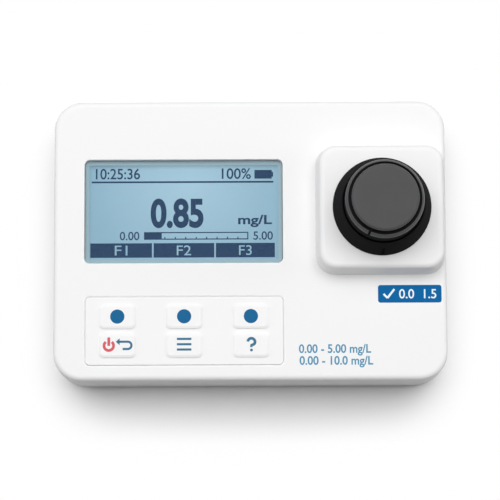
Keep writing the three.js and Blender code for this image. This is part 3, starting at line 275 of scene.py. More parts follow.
def makePiece(name, surfaces, material, body=None, replaced=(), sharpAngle=35):
    # joins the surfaces into one mesh in metres, closes its seams and turns every face outwards
    points, faces, count = [], [], 0
    for part, quads in surfaces:
        points.append(part)
        faces += [[corner + count for corner in face] for face in quads]
        count += len(part)
    mesh = bpy.data.meshes.new(name)
    mesh.from_pydata((np.vstack(points) * mm).tolist(), [], faces)
    work = bmesh.new()
    work.from_mesh(mesh)
    bmesh.ops.remove_doubles(work, verts=work.verts, dist=joinDistance * mm)
    bmesh.ops.dissolve_degenerate(work, edges=work.edges, dist=joinDistance * mm / 4)
    bmesh.ops.recalc_face_normals(work, faces=work.faces)
    work.to_mesh(mesh)
    work.free()
    mesh.shade_smooth()
    mesh.set_sharp_from_angle(angle=math.radians(sharpAngle))
    mesh.materials.append(material)
    piece = bpy.data.objects.new(name, mesh)
    bpy.context.scene.collection.objects.link(piece)
    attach(piece, body or nodes[replaced[0]]["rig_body"])
    if replaced:
        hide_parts(*replaced)
    return piece


# Materials


def linear(colour):
    # sRGB hex to linear light: c / 12.92 for a dark channel, else ((c + 0.055) / 1.055) to the power 2.4
    channels = np.array([int(colour[i:i + 2], 16) for i in (1, 3, 5)]) / 255
    light = np.where(channels <= 0.04045, channels / 12.92, ((channels + 0.055) / 1.055) ** 2.4)
    return (*light.tolist(), 1.0)


def addNode(tree, kind, settings=None, links=None):
    # Shader node: settings go to the sockets of that name or number, or else to the node's own properties.
    # Each link comes from a given output, or from a given node's first output.
    node = tree.nodes.new("ShaderNode" + kind)
    for key, value in (settings or {}).items():
        if isinstance(key, int) or key in node.inputs:
            node.inputs[key].default_value = value
        else:
            setattr(node, key, value)
    for socket, source in (links or {}).items():
        tree.links.new(getattr(source, "outputs", [source])[0], node.inputs[socket])
    return node


socketNames = {"ior": "IOR", "specular": "Specular IOR Level", "metallic": "Metallic", "alpha": "Alpha",
    "transmission": "Transmission Weight", "milkiness": "Subsurface Weight",
    "milkDepth": "Subsurface Scale", "glow": "Emission Strength", "glowColour": "Emission Color"}


def moulded(name, colours, roughness, blotch, grain=0.3, depth=0.003, stretch=(1, 1, 1), **sockets):
    # A cloud pattern mixes two near colours and two roughnesses, and a fine grain gives the relief.
    # blotch, grain and depth are millimetres; stretch draws both patterns out along an axis.
    material = bpy.data.materials.new(name)
    material.use_nodes = True
    tree = material.node_tree
    shader = tree.nodes["Principled BSDF"]
    place = addNode(tree, "TexCoord")
    spread = addNode(tree, "Mapping", {"Scale": stretch}, {"Vector": place.outputs["Object"]})
    clouds = addNode(tree, "TexNoise", {"Scale": 1 / (blotch * mm), "Detail": 3.0}, {"Vector": spread})
    tint = addNode(tree, "Mix", {"data_type": "RGBA", 6: linear(colours[0]), 7: linear(colours[1])},
        {0: clouds})
    gloss = addNode(tree, "MapRange", {"To Min": roughness[0], "To Max": roughness[1]}, {0: clouds})
    speckle = addNode(tree, "TexNoise", {"Scale": 1 / (grain * mm), "Detail": 2.0}, {"Vector": spread})
    relief = addNode(tree, "Bump", {"Distance": depth * mm}, {"Height": speckle})
    tree.links.new(tint.outputs[2], shader.inputs["Base Color"])
    tree.links.new(gloss.outputs[0], shader.inputs["Roughness"])
    tree.links.new(relief.outputs[0], shader.inputs["Normal"])
    for short, value in sockets.items():
        shader.inputs[socketNames[short]].default_value = value
    return material


print("materials")
# ABS, injection moulded against a spark-eroded tool: white with a fine satin grain
whiteAbs = moulded("whiteMouldedAbs", ("#EEEEEE", "#F0F0F0"), roughness=(0.40, 0.48), blotch=30, grain=0.35,
    depth=0.006, ior=1.54)
# ABS keys and keypad plate, moulded in a smoother tool: a little silkier than the casing
whiteKeyAbs = moulded("whiteKeypadAbs", ("#EFEFEF", "#F1F1F1"), roughness=(0.34, 0.42), blotch=12,
    grain=0.25, ior=1.54)
# Glass-filled nylon, moulded and eroded: matt charcoal black that scatters the light
mattNylon = moulded("blackMattNylon", ("#202021", "#272728"), roughness=(0.70, 0.82), blotch=6, depth=0.012,
    ior=1.53, specular=0.004)
# Polypropylene cap, moulded in a fine-ground tool: satin dark grey with a soft highlight
satinPolypropylene = moulded("blackSatinPolypropylene", ("#4A4A4B", "#505051"), roughness=(0.30, 0.40),
    blotch=8, grain=0.4, depth=0.004, ior=1.49, specular=0.17)
# EPDM rubber, pressed: dull black with a faint bloom
pressedRubber = moulded("blackPressedRubber", ("#232325", "#2E2E30"), roughness=(0.72, 0.86), blotch=3,
    grain=0.2, depth=0.01, ior=1.52)
# Silicone rubber keypad mat, pressed: pale grey and slightly waxy
siliconeRubber = moulded("greySiliconeRubber", ("#A9ACAE", "#B6B9BB"), roughness=(0.5, 0.6), blotch=5,
    depth=0.004, ior=1.41, milkiness=0.1, milkDepth=0.001)
# Polyethylene liner, moulded in its natural colour: milky and waxy
naturalPolyethylene = moulded("naturalPolyethylene", ("#DCDBD6", "#E6E5E0"), roughness=(0.38, 0.48),
    blotch=4, depth=0.004, ior=1.51, milkiness=0.2, milkDepth=0.001)
# Polycarbonate window, moulded and polished: clear, with a slight blue cast and a hard gloss
clearPolycarbonate = moulded("clearPolycarbonate", ("#DCE8EC", "#E2ECF0"), roughness=(0.04, 0.08),
    blotch=20, grain=4, depth=0.001, ior=1.58, alpha=0.015)
# Borosilicate glass tube, drawn and fire-polished: water clear, faintly wavy
borosilicateGlass = moulded("borosilicateGlass", ("#F4FAF8", "#FAFDFC"), roughness=(0.0, 0.02), blotch=10,
    grain=6, depth=0.004, ior=1.47, transmission=1.0)
# Interference filter, hard coated on both faces: deep green that mirrors a little
coatedFilter = moulded("coatedFilterGlass", ("#1F6A58", "#2C7A62"), roughness=(0.03, 0.06), blotch=3,
    grain=2, depth=0.001, ior=1.9)
# Screws, zinc-plated and clear-passivated steel: bright grey with fine turning marks
zincSteel = moulded("zincPlatedSteel", ("#B4B7BC", "#C3C6CA"), roughness=(0.26, 0.40), blotch=0.8,
    grain=0.15, depth=0.004, stretch=(1, 1, 5), metallic=1.0)
# Contacts, stamped spring steel with nickel plating: warm bright grey, rolled along the strip
nickelSteel = moulded("nickelPlatedSpringSteel", ("#BDB7AC", "#CBC5BA"), roughness=(0.18, 0.30), blotch=1.5,
    grain=0.2, stretch=(1, 1, 0.2), metallic=1.0)
# Drawn steel can of the photodetector: smooth tin plate
tinCan = moulded("tinPlatedCan", ("#C2C3C2", "#CDCECD"), roughness=(0.16, 0.24), blotch=1.5, grain=0.4,
    depth=0.002, metallic=1.0)
# Epoxy moulding compound of the chips: black, laser-fine matt
mouldedEpoxy = moulded("blackMouldedEpoxy", ("#1C1C1E", "#252527"), roughness=(0.55, 0.7), blotch=1.5,
    grain=0.12, depth=0.006, ior=1.55)
# Frame, connector and buzzer case, moulded black nylon and polycarbonate: half matt
blackPolycarbonate = moulded("blackMouldedPolycarbonate", ("#18181A", "#202022"), roughness=(0.4, 0.5),
    blotch=4, depth=0.005, ior=1.58)
# Light guide, moulded acrylic behind a matt white film: bright, even and slightly blue
lightGuide = moulded("acrylicLightGuide", ("#E6F0F4", "#EDF5F8"), roughness=(0.3, 0.4), blotch=15,
    grain=0.4, ior=1.49, glowColour=linear("#CFE4EE"), glow=0.15)
# Flexible circuit, polyimide film: clear amber over copper
polyimideFilm = moulded("amberPolyimideFilm", ("#A8651C", "#BB7A2A"), roughness=(0.25, 0.35), blotch=2,
    grain=0.5, stretch=(6, 0.3, 0.3), ior=1.7)
# Ribbon cable, extruded grey PVC: parallel ribs along its run
ribbonPvc = moulded("greyRibbonPvc", ("#8F9396", "#A5A9AC"), roughness=(0.45, 0.55), blotch=1.2, grain=1.2,
    depth=0.05, stretch=(8, 0.1, 0.1), ior=1.53)
# Inks, screen printed and dried to a half-matt film
inkFilm = dict(blotch=2, grain=0.15, depth=0.002, roughness=(0.42, 0.5), ior=1.5)
blueInk = moulded("blueScreenInk", ("#195F8E", "#1F6795"), **inkFilm, specular=0.15)
slateInk = moulded("slateScreenInk", ("#2F6583", "#3A6F8C"), **inkFilm)
redInk = moulded("redScreenInk", ("#C8545C", "#D25E66"), **inkFilm)
steelBlueInk = moulded("steelBlueScreenInk", ("#3F83A6", "#4A8EB0"), **inkFilm)
badgeInk = moulded("badgeBlueInk", ("#0B5F9A", "#1166A1"), **inkFilm, specular=0.1)
whiteInk = moulded("whiteScreenInk", ("#E2F0F6", "#ECF6FA"), **inkFilm)
borderInk = moulded("displayBorderInk", ("#8FA9B3", "#93ADB7"), **inkFilm)


def partsOf(material):
    # node tree, shader, the place of each point in metres, and where the base colour comes from
    tree = material.node_tree
    shader = tree.nodes["Principled BSDF"]
    base = shader.inputs["Base Color"].links[0].from_socket
    return tree, shader, addNode(tree, "TexCoord").outputs["Object"], base


def crystalGlass():
    # Liquid crystal cell, float glass lit from behind: pale steel blue. The glow goes to its brighter
    # colour as the distance from the brightest place, over the reach, goes from 1 to 0.
    material = moulded("litCrystalGlass", ("#5D7D8E", "#628293"), roughness=(0.2, 0.24), blotch=25, grain=2,
        depth=0.0005, ior=1.52, specular=0.1, glow=crystal.glow)
    tree, shader, place = partsOf(material)[:3]
    middle = [-value / half for value, half in zip(crystal.middle, crystal.reach)]
    shares = [1 / (half * mm) for half in crystal.reach]
    centred = addNode(tree, "Mapping", {"Location": (*middle, 0), "Scale": (*shares, 0)}, {"Vector": place})
    halo = addNode(tree, "TexGradient", {"gradient_type": "SPHERICAL"}, {"Vector": centred})
    tint = addNode(tree, "Mix", {"data_type": "RGBA", 6: linear(crystal.edgeColour),
        7: linear(crystal.middleColour)}, {0: halo.outputs[1]})
    tree.links.new(tint.outputs[2], shader.inputs["Emission Color"])
    return material


def crystalInk():
    # dark state of the crystal: ink blue that still lets a little of the back light through
    return moulded("darkCrystal", ("#0C1118", "#10161E"), roughness=(0.25, 0.3), blotch=8, grain=1,
        depth=0.0, ior=1.52, specular=0.1, glowColour=linear("#0C4E82"), glow=0.42)


def solderMask():
    # Glass-fibre board under green solder mask: copper tracks show as paler lines, where the distance to
    # the edge of a field is under a share of its size. Real tracks of 0.2 mm would not show, so they are
    # drawn about 0.4 mm wide.
    field, trackShare = 3, 0.07
    material = moulded("greenSolderMask", ("#0F4A2C", "#14553A"), roughness=(0.28, 0.38), blotch=20,
        grain=0.5, ior=1.55)
    tree, shader, place, base = partsOf(material)
    cells = addNode(tree, "TexVoronoi", {"feature": "DISTANCE_TO_EDGE", "distance": "MANHATTAN",
        "Scale": 1 / (field * mm), "Randomness": 0.7}, {"Vector": place})
    line = addNode(tree, "Math", {"operation": "LESS_THAN", 1: trackShare}, {0: cells})
    tint = addNode(tree, "Mix", {"data_type": "RGBA", 7: linear("#2F7D55")}, {0: line, 6: base})
    tree.links.new(tint.outputs[2], shader.inputs["Base Color"])
    return material


def cellJacket():
    # Steel can in a shrunk film: plain blue, and bare bright steel further than bareFrom along X from the
    # middle of the three cells
    bareFrom = 23.5
    material = moulded("printedCellJacket", ("#244F80", "#2A598C"), roughness=(0.22, 0.3), blotch=6,
        grain=0.6, ior=1.5)
    tree, shader, place, base = partsOf(material)
    centred = addNode(tree, "Mapping", {"Location": (-bay[0] * mm, 0, 0)}, {"Vector": place})
    axes = addNode(tree, "SeparateXYZ", None, {0: centred})
    away = addNode(tree, "Math", {"operation": "ABSOLUTE"}, {0: axes})
    bare = addNode(tree, "Math", {"operation": "GREATER_THAN", 1: bareFrom * mm}, {0: away})
    tint = addNode(tree, "Mix", {"data_type": "RGBA", 7: linear("#BFC1C3")}, {0: bare, 6: base})
    tree.links.new(tint.outputs[2], shader.inputs["Base Color"])
    tree.links.new(bare.outputs[0], shader.inputs["Metallic"])
    return material


print("lights and floor")
# whiteFrom and whiteBy set where the painted white over the floor's shadow begins and where it is whole
lightSettings = Settings(worldColour="#FFFFFF", worldLight=0.19, size=(1.5, 0.95), power=18.4,
    place=(0.0, 0.38, 1.35), boardSize=(0.5, 0.4), boardPower=1.4, boardPlaces=((-0.8, 0.1, 0.32),
    (0.8, 0.1, 0.32)), floorHalf=4.0, whiteFrom=0.062, whiteBy=0.083, whiteStretch=(0.95, 1.0, 1.0),
    bounceColour="#A0A0A0")


def makeWorld(settings):
    # strength: worldLight on the object, and 1, plain white, where the camera, a reflection or clear
    # glass looks
    world = bpy.data.worlds.new("studio")
    bpy.context.scene.world = world
    world.use_nodes = True
    tree = world.node_tree
    tree.nodes.clear()
    rays = addNode(tree, "LightPath")
    seen = addNode(tree, "Math", {"operation": "MAXIMUM"}, {0: rays.outputs["Is Camera Ray"],
        1: rays.outputs["Is Glossy Ray"]})
    through = addNode(tree, "Math", {"operation": "MAXIMUM"}, {0: seen,
        1: rays.outputs["Is Transmission Ray"]})
    level = addNode(tree, "MapRange", {"To Min": settings.worldLight, "To Max": 1.0}, {0: through})
    glow = addNode(tree, "Background", {"Color": linear(settings.worldColour)}, {"Strength": level})
    addNode(tree, "OutputWorld", None, {"Surface": glow})


def makeLamp(name, size, power, place):
    # Area lamp turned to the origin. Reflections look past it at the white studio.
    data = bpy.data.lights.new(name, "AREA")
    data.shape, data.energy = "RECTANGLE", power
    data.size, data.size_y = size
    lamp = bpy.data.objects.new(name, data)
    lamp.location = place
    lamp.rotation_euler = (-Vector(place)).to_track_quat("-Z", "Y").to_euler()
    lamp.visible_glossy = False
    bpy.context.scene.collection.objects.link(lamp)


def makeFloor(settings):
    # Matt white studio paper, whose bounce on the object is held down as dark flags round it would do.
    # Painted light: the camera sees plain white fading in over the outer part of the object's shadow, 0 at a
    # distance of whiteFrom from the middle and 1 at whiteBy. This paints the shadow's sides lighter and the
    # floor beyond it white. The distance is the fourth root of x to the fourth plus y to the fourth, so that
    # a line of one distance is a rounded square, and x is stretched first.
    half = settings.floorHalf
    mesh = bpy.data.meshes.new("floor")
    mesh.from_pydata([(-half, -half, 0), (half, -half, 0), (half, half, 0), (-half, half, 0)], [],
        [(0, 1, 2, 3)])
    paper = moulded("whitePaper", ("#FCFCFC", "#FEFEFE"), roughness=(0.9, 0.95), blotch=200, grain=2,
        depth=0.0, specular=0.0)
    tree, shader, place, base = partsOf(paper)
    oval = addNode(tree, "Mapping", {"Scale": settings.whiteStretch}, {"Vector": place})
    squares = addNode(tree, "VectorMath", {"operation": "MULTIPLY"}, {0: oval, 1: oval})
    away = addNode(tree, "VectorMath", {"operation": "LENGTH"}, {0: squares})
    ramp = addNode(tree, "MapRange", {"interpolation_type": "SMOOTHSTEP",
        "From Min": settings.whiteFrom ** 2, "From Max": settings.whiteBy ** 2}, {0: away.outputs["Value"]})
    rays = addNode(tree, "LightPath")
    bounce = addNode(tree, "Mix", {"data_type": "RGBA", 7: linear(settings.bounceColour)},
        {0: rays.outputs["Is Diffuse Ray"], 6: base})
    tree.links.new(bounce.outputs[2], shader.inputs["Base Color"])
    # painted light: the camera's white covers the outer part of the object's shadow and lightens it
    paintedLightShare = addNode(tree, "Math", {"operation": "MULTIPLY"}, {0: ramp, 1: rays.outputs["Is Camera Ray"]})
    white = addNode(tree, "Emission")
    blend = addNode(tree, "MixShader", None, {0: paintedLightShare, 1: shader, 2: white})
    tree.links.new(blend.outputs[0], tree.nodes["Material Output"].inputs["Surface"])
    mesh.materials.append(paper)
    floor = bpy.data.objects.new("floor", mesh)
    bpy.context.scene.collection.objects.link(floor)


makeWorld(lightSettings)
makeLamp("softBox", lightSettings.size, lightSettings.power, lightSettings.place)
for side, place in zip(("left", "right"), lightSettings.boardPlaces):
    makeLamp(side + "Board", lightSettings.boardSize, lightSettings.boardPower, place)
makeFloor(lightSettings)

print("upper casing half")
well, bay, window, pad = [middleOf(name)[:2] for name in ("cuvette_collar", "battery_cover",
    "display_window", "keypad_panel")]
keyNames = ["key_f1", "key_f2", "key_f3", "key_power", "key_menu", "key_help"]
keyCentres = {name: middleOf(name)[:2] for name in keyNames}
screwPlaces, boardScrewPlaces, footPlaces = [[middleOf(f"{kind}_{i}")[:2] for i in (1, 2, 3, 4)]
    for kind in ("case_screw", "board_screw", "foot")]
upper = Settings(low=14.9, deck=30.0, deckLow=27.7, wall=2.5, draft=0.35, fillet=2.0,
    windowHalf=(35.9, 18.9), windowRadius=2.0, windowRim=0.3, ledgeTop=27.1, ledgeLow=25.9, ledge=1.3,
    windowFrame=1.8, padHalf=(35.6, 12.3), padRadius=1.6, padRim=0.2, padFloor=28.8, padLip=29.75,
    padLipWidth=0.22, keyHalf=(6.5, 4.4), keyRadius=1.8, turretFoot=28.6, turretTop=40.0, turretLean=1.3,
    turretFillet=2.0, turretWall=2.3, turretHole=16.9, bossRadius=3.6, bossHole=1.8, bossHoleTop=26.2,
    bossTop=28.2, turretOpening=2.9, turretShift=(-0.15, 0.1), turretHalf=23.4, turretRadius=7.2,
    casingRadius=10.5)

casingPlan = roundPlan(0, 0, *boxOf("top_housing")[1][:2], upper.casingRadius)
turretPlan = roundPlan(*(well + upper.turretShift), upper.turretHalf, upper.turretHalf, upper.turretRadius)


def topHousing(s):
    # Shell open below, with the window's stepped opening, the keypad's recess and key holes, and a boss
    # for each screw. Every wall is a plan carried along a path of (inset, height).
    windowPlan = roundPlan(*window, *s.windowHalf, s.windowRadius)
    padPlan = roundPlan(*pad, *s.padHalf, s.padRadius, seatGap)
    keyPlans = [roundPlan(*keyCentres[k], *s.keyHalf, s.keyRadius, seatGap) for k in keyNames]
    deck, under = s.deck, s.deckLow
    shell = loft(casingPlan, [(s.wall + s.draft, under), (s.wall, s.low), (0, s.low, fineEdge),
        (s.draft, deck, s.fillet), (s.draft + s.fillet + margin, deck)], 16, 8)
    windowWall = loft(windowPlan, [(-s.windowRim - margin, deck), (0, deck, s.windowRim), (0, s.ledgeTop),
        (s.ledge, s.ledgeTop), (s.ledge, s.ledgeLow), (-s.windowFrame, s.ledgeLow),
        (-s.windowFrame, under)], 8, 5)
    padWall = loft(padPlan, [(-s.padRim - margin, deck), (0, deck, s.padRim), (0, s.padLip),
        (s.padLipWidth, s.padLip), (s.padLipWidth, s.padFloor)], 8, 5)
    keyWalls = [loft(plan, [[0, s.padFloor], [0, under]], 6) for plan in keyPlans]
    opening = loft(turretPlan, [[s.turretOpening, deck], [s.turretOpening, under]], 10)
    bosses = [lathe([(0, s.bossHoleTop), (s.bossHole, s.bossHoleTop), (s.bossHole, s.low),
        (s.bossRadius, s.low), (s.bossRadius, s.bossTop), (0, s.bossTop)], place, smallRound, 6)
        for place in screwPlaces]
    flats = fill(shell[-1], windowWall[0], padWall[0], opening[0]) + fill(padWall[-1], *ends(keyWalls, 0))
    flats += fill(shell[0], windowWall[-1], opening[1], *ends(keyWalls, 1))
    return skin(shell, windowWall, padWall, *keyWalls, opening) + flats + turretShell(s) + skin(*bosses)


def turretShell(s):
    # Leaning rounded square, with a round hole in its roof for the collar. It stands in the deck.
    top, roof = s.turretTop, s.turretTop - s.turretWall
    inner = s.turretWall + s.turretLean
    walls = loft(turretPlan, [(inner, roof), (s.turretWall + s.turretLean / 2, s.turretFoot),
        (0, s.turretFoot), (0, s.deck), (s.turretLean, top, s.turretFillet),
        (s.turretLean + s.turretFillet + margin, top)], 16, 8)
    hole = lathe([(s.turretHole + wideEdge, top), (s.turretHole, top, softEdge), (s.turretHole, roof)],
        well, arc=4)
    return skin(walls, hole) + fill(walls[-1], hole[0]) + fill(walls[0], hole[-1])


makePiece("casingTop", topHousing(upper), whiteAbs, replaced=["top_housing"])

print("lower casing half")
lower = Settings(parting=14.5, underside=1.0, floor=3.2, setIn=0.3, draft=0.4, fillet=1.1, hollowLow=3.9,
    hollowHigh=2.9, lipLow=12.9, lipTop=16.1, lipInner=4.0, lipOuter=2.8, grooveOuter=0.75,
    grooveInner=2.05, grooveLow=13.5, throatRadius=41.41, throatTop=9.2, coverHole=39.81, coverLedge=3.4,
    skirtHole=37.31, neckTop=8.0, bayHalf=(28.85, 22.05), bayWall=1.4, bayRoof=17.9, bayTop=19.1,
    ringInner=18.3, ringOuter=19.8, ringTop=5.2, postRadius=3.0, postHole=1.3, postTop=19.6,
    postHoleLow=11.6, bossRadius=3.6, bossHole=1.8, seatRadius=2.9, seat=8.0, footHole=5.3, footSeat=1.8,
    tabHalf=(0.5, 1.8), tabCorner=0.05, bayCorner=0.8, bayInnerCorner=0.2,
    tabPlaces=((28.35, -14.5), (-28.35, 14.5)))
lugs = Settings(angles=(0, 120, 240), width=16.0, margin=1.0, turn=35.0, drop=0.9, low=6.1, height=1.2,
    depth=1.4, angleStep=2.5, close=0.02)


def ringRows(*values):
    # a grid's rows of one measure: each value is one number, or a number for every angle
    return np.stack(np.broadcast_arrays(*values))


def nearestLug(angle):
    # degrees from each angle to the lug that it belongs to, taken so that the track's span is unbroken
    degrees, apart = np.degrees(angle) % 360, 360 / len(lugs.angles)
    return (degrees + lugs.turn + lugs.width) % apart - lugs.turn - lugs.width


def lugAngles(edges):
    # whole turn of angles, with pairs at the edges of each lug
    return turnAngles([lug + edge for lug in lugs.angles for edge in edges], lugs.angleStep, lugs.close)


def throatWall(s):
    # Round throat with a ramped track for each of the cover's lugs: the track's lower and upper edges
    # climb with the angle, and below each ramp's foot an entry runs down to the ledge.
    reach = lugs.width / 2 + lugs.margin
    angle = lugAngles((-lugs.turn - reach, -lugs.turn + reach, reach))
    along = nearestLug(angle)
    inTrack = (along >= -lugs.turn - reach) & (along <= reach)
    entry = inTrack & (along <= -lugs.turn + reach)
    slope = lugs.drop / lugs.turn * along
    foot = lugs.low - seatGap
    head = foot + lugs.height + 2 * seatGap
    low = np.where(entry, s.coverLedge, foot + slope)
    high = np.where(entry, np.maximum(head - lugs.drop, head + slope), head + slope)
    deep = s.skirtHole + lugs.depth * inTrack
    mouth = s.skirtHole + lugs.depth * entry
    radius = ringRows(s.coverHole, s.coverHole, mouth, mouth, deep, deep, s.skirtHole, s.skirtHole)
    height = ringRows(s.underside, s.coverLedge, s.coverLedge, low, low, high, high, s.neckTop)
    return around(bay, radius, angle, height)


def bottomHousing(s):
    # Tray with a lip and a seal groove on its rim, a stepped throat under a box for the cells, a ring
    # round the cuvette's foot, board posts, screw bosses and seats for the feet.
    under, floor = s.underside, s.floor
    shell = loft(casingPlan, [(s.hollowLow, floor), (s.hollowHigh, s.lipLow), (s.lipInner, s.lipLow),
        (s.lipInner, s.lipTop), (s.lipOuter, s.lipTop, softEdge), (s.lipOuter, s.parting),
        (s.grooveInner, s.parting), (s.grooveInner, s.grooveLow), (s.grooveOuter, s.grooveLow),
        (s.grooveOuter, s.parting), (s.setIn, s.parting, sharpEdge), (s.draft, under, s.fillet),
        (s.draft + s.fillet + margin, under)], 16, 8)
    throat = throatWall(s)
    outside = lathe([[s.throatRadius, floor], [s.throatRadius, s.throatTop]], bay)
    outerPlan = roundPlan(*bay, s.bayHalf[0] + s.bayWall, s.bayHalf[1] + s.bayWall, s.bayCorner)
    innerPlan = roundPlan(*bay, *s.bayHalf, s.bayInnerCorner)
    bayOuter = loft(outerPlan, [(0, s.throatTop), (0, s.bayTop, easyEdge), (2 * easyEdge, s.bayTop)], 4, 3)
    bayInner = loft(innerPlan, [[0, s.neckTop], [0, s.bayRoof]], 4)
    slots = [loft(roundPlan(bay[0] + x, bay[1] + y, *s.tabHalf, s.tabCorner),
        [[0, s.bayRoof], [0, s.bayTop]], 2) for x, y in s.tabPlaces]
    ring = lathe([(s.ringOuter, floor), (s.ringOuter, s.ringTop, softEdge), (s.ringInner, s.ringTop),
        (s.ringInner, floor)], well, arc=3)
    posts = [lathe([(s.postRadius, floor), (s.postRadius, s.postTop, softEdge), (s.postHole, s.postTop),
        (s.postHole, s.postHoleLow), (0, s.postHoleLow)], place, smallRound, 3)
        for place in boardScrewPlaces]
    bosses = [lathe([(s.bossRadius, floor), (s.bossRadius, s.parting), (s.bossHole, s.parting),
        (s.bossHole, s.seat), (s.seatRadius, s.seat), (s.seatRadius, under, fineEdge),
        (s.seatRadius + easyEdge, under)], place, smallRound, 3) for place in screwPlaces]
    feet = [lathe([(s.footHole + easyEdge, under), (s.footHole, under, fineEdge), (s.footHole, s.footSeat),
        (0, s.footSeat)], place, middleRound, 3) for place in footPlaces]
    flats = fill(shell[-1], throat[0], *ends(bosses, -1), *ends(feet, 0))
    flats += fill(shell[0], outside[0], ring[0], *ends(posts, 0), *ends(bosses, 0)) + fill(ring[-1])
    flats += fill(outside[1], bayOuter[0]) + fill(bayOuter[-1], *ends(slots, 1))
    flats += fill(bayInner[1], *ends(slots, 0)) + fill(throat[-1], bayInner[0])
    return skin(shell, throat, outside, bayOuter, bayInner, *slots, ring, *posts, *bosses, *feet) + flats


makePiece("casingBottom", bottomHousing(lower), whiteAbs, replaced=["bottom_housing"])

print("battery cover and feet")
cover = Settings(low=1.1, top=3.1, radius=39.51, edge=0.4, skirt=37.01, skirtInner=35.41, grooveLow=3.4,
    grooveTop=4.7, grooveRadius=36.21, skirtTop=7.6, slotHalf=(11.0, 1.3), slotTop=2.2, rim=1.5)


def batteryCover(s):
    # Turned cup with a coin slot in its face. Its skirt's radius grows by the lug's depth near each lug,
    # and the lug's lower and upper edges climb evenly with the angle.
    half = lugs.width / 2
    angle = lugAngles((-half, half))
    along = nearestLug(angle)
    onLug = np.abs(along) <= half
    slope = lugs.drop / lugs.turn * along * onLug
    crest = s.skirt + lugs.depth * onLug
    path = rounded([(s.radius - s.rim, s.low), (s.radius, s.low, s.edge), (s.radius, s.top, sharpEdge),
        (s.skirt, s.top), (s.skirt, s.grooveLow), (s.grooveRadius, s.grooveLow),
        (s.grooveRadius, s.grooveTop), (s.skirt, s.grooveTop)], 4)
    cup = lathe(path, bay, angle)
    rise = lugs.low + slope
    crown = rise + lugs.height
    radius = ringRows(s.skirt, s.skirt, crest, crest, s.skirt, s.skirt, s.skirtInner, s.skirtInner)
    height = ringRows(s.grooveTop, rise, rise, crown, crown, s.skirtTop, s.skirtTop, s.top)
    skirt = around(bay, radius, angle, height)
    slot = loft(roundPlan(*bay, *s.slotHalf, s.slotHalf[1] - hair),
        [(-wideEdge, s.low), (0, s.low, fineEdge), (0, s.slotTop)], 8, 4)
    return skin(cup, skirt, slot) + fill(cup[0], slot[0]) + fill(slot[-1]) + fill(skirt[-1])


makePiece("batteryCover", batteryCover(cover), whiteAbs, replaced=["battery_cover"])
foot = Settings(radius=5.0, edge=0.5, height=1.8)
for number, place in enumerate(footPlaces, 1):
    path = rounded([(0, 0), (foot.radius, 0, foot.edge), (foot.radius, foot.height, sharpEdge),
        (0, foot.height)], 4)
    makePiece(f"rubberFoot{number}", skin(lathe(path, place, middleRound)), pressedRubber,
        replaced=[f"foot_{number}"])

print("collar and cap")
collar = Settings(low=32.7, seat=40.0, top=50.5, foot=40.5, shelf=45.0, bore=14.5, innerBore=12.7,
    spigot=16.6, baseRadius=17.65, topRadius=15.1, sealLow=38.2, sealTop=39.5, sealRadius=15.8,
    topEdge=0.25, markLow=40.25, markTop=46.8, markDepth=0.8, markHalfDegrees=1.7)
front = 270  # degrees


def collarShape(s):
    # index mark: the radius is less where the angle is near the front and the height is on the mark
    def shape(radius, angle, height):
        ahead = np.abs(np.degrees(angle) - front) < s.markHalfDegrees
        outside = (height > s.markLow) & (height < s.markTop) & (radius > s.bore + 2 * near)
        return radius - s.markDepth * (ahead & outside)
    return shape


def collarGrid(s):
    # Cone on a spigot: from its foot to its top the radius falls evenly from baseRadius to topRadius.
    path = rounded([(s.innerBore, s.low), (s.spigot, s.low, easyEdge), (s.spigot, s.sealLow),
        (s.sealRadius, s.sealLow), (s.sealRadius, s.sealTop), (s.spigot, s.sealTop), (s.spigot, s.seat),
        (s.baseRadius, s.seat, sharpEdge), (s.baseRadius, s.foot, softEdge),
        (s.topRadius, s.top, s.topEdge), (s.bore, s.top, softEdge), (s.bore, s.shelf),
        (s.innerBore, s.shelf, softEdge), (s.innerBore, s.low)], 5)
    # rows just below and just above each end of the mark
    edges = np.array([s.markLow, s.markLow, s.markTop, s.markTop]) + np.array([-1, 1, -1, 1]) * hair
    cone = s.baseRadius + (edges - s.foot) / (s.top - s.foot) * (s.topRadius - s.baseRadius)
    extra = np.stack([np.minimum(cone, s.baseRadius), edges], axis=1)
    first = int(np.argmax((path[:, 0] > s.baseRadius - near) & (path[:, 1] > s.seat + near)))
    path = np.vstack([path[:first + 1], extra[:2], path[first + 1:]])
    above = int(np.argmax((path[:, 1] > s.markTop) & (path[:, 0] > s.bore)))
    path = np.vstack([path[:above], extra[2:], path[above:]])
    angle = turnAngles([front - s.markHalfDegrees, front + s.markHalfDegrees])
    return lathe(path, well, angle, shape=collarShape(s))


makePiece("cuvetteCollar", skin(collarGrid(collar)), mattNylon, replaced=["cuvette_collar"])
cap = Settings(low=46.0, top=62.5, radius=13.95, rimEdge=0.3, shoulder=58.5, shoulderFillet=2.6,
    ringTop=60.4, ringEdge=0.2, ringRadius=12.85, grooveLow=58.7, grooveRadius=11.95, discRadius=11.85,
    discFillet=1.1, bore=12.2, boreTop=57.6, upperBore=11.2, roof=61.2, notchAngle=245.3, notchDepth=0.5,
    notchHalfWidth=0.45, notchLow=57.9, threadMiddle=47.2, threadTurns=1.0, skirtTop=58.0)
thread = Settings(depth=1.0, pitch=3.0, root=1.4, crest=0.7, fade=12)


def threadHeight(angle, height, middle, turns):
    # 0 to 1: how far a point is up the thread's flank, from its distance to the helix that climbs one
    # pitch a turn. The thread fades out over a twelfth of a turn at both of its ends.
    paintedLightShare = (angle % (2 * math.pi)) / (2 * math.pi)
    raised = np.zeros_like(height)
    for turn in range(int(math.ceil(turns))):
        run = np.clip(np.minimum(paintedLightShare + turn, turns - paintedLightShare - turn) * thread.fade, 0, 1)
        away = np.abs(height - middle - thread.pitch * (paintedLightShare + turn))
        flank = (thread.root / 2 - away) / (thread.root / 2 - thread.crest / 2)
        raised = np.maximum(raised, np.clip(flank, 0, 1) * run)
    return raised


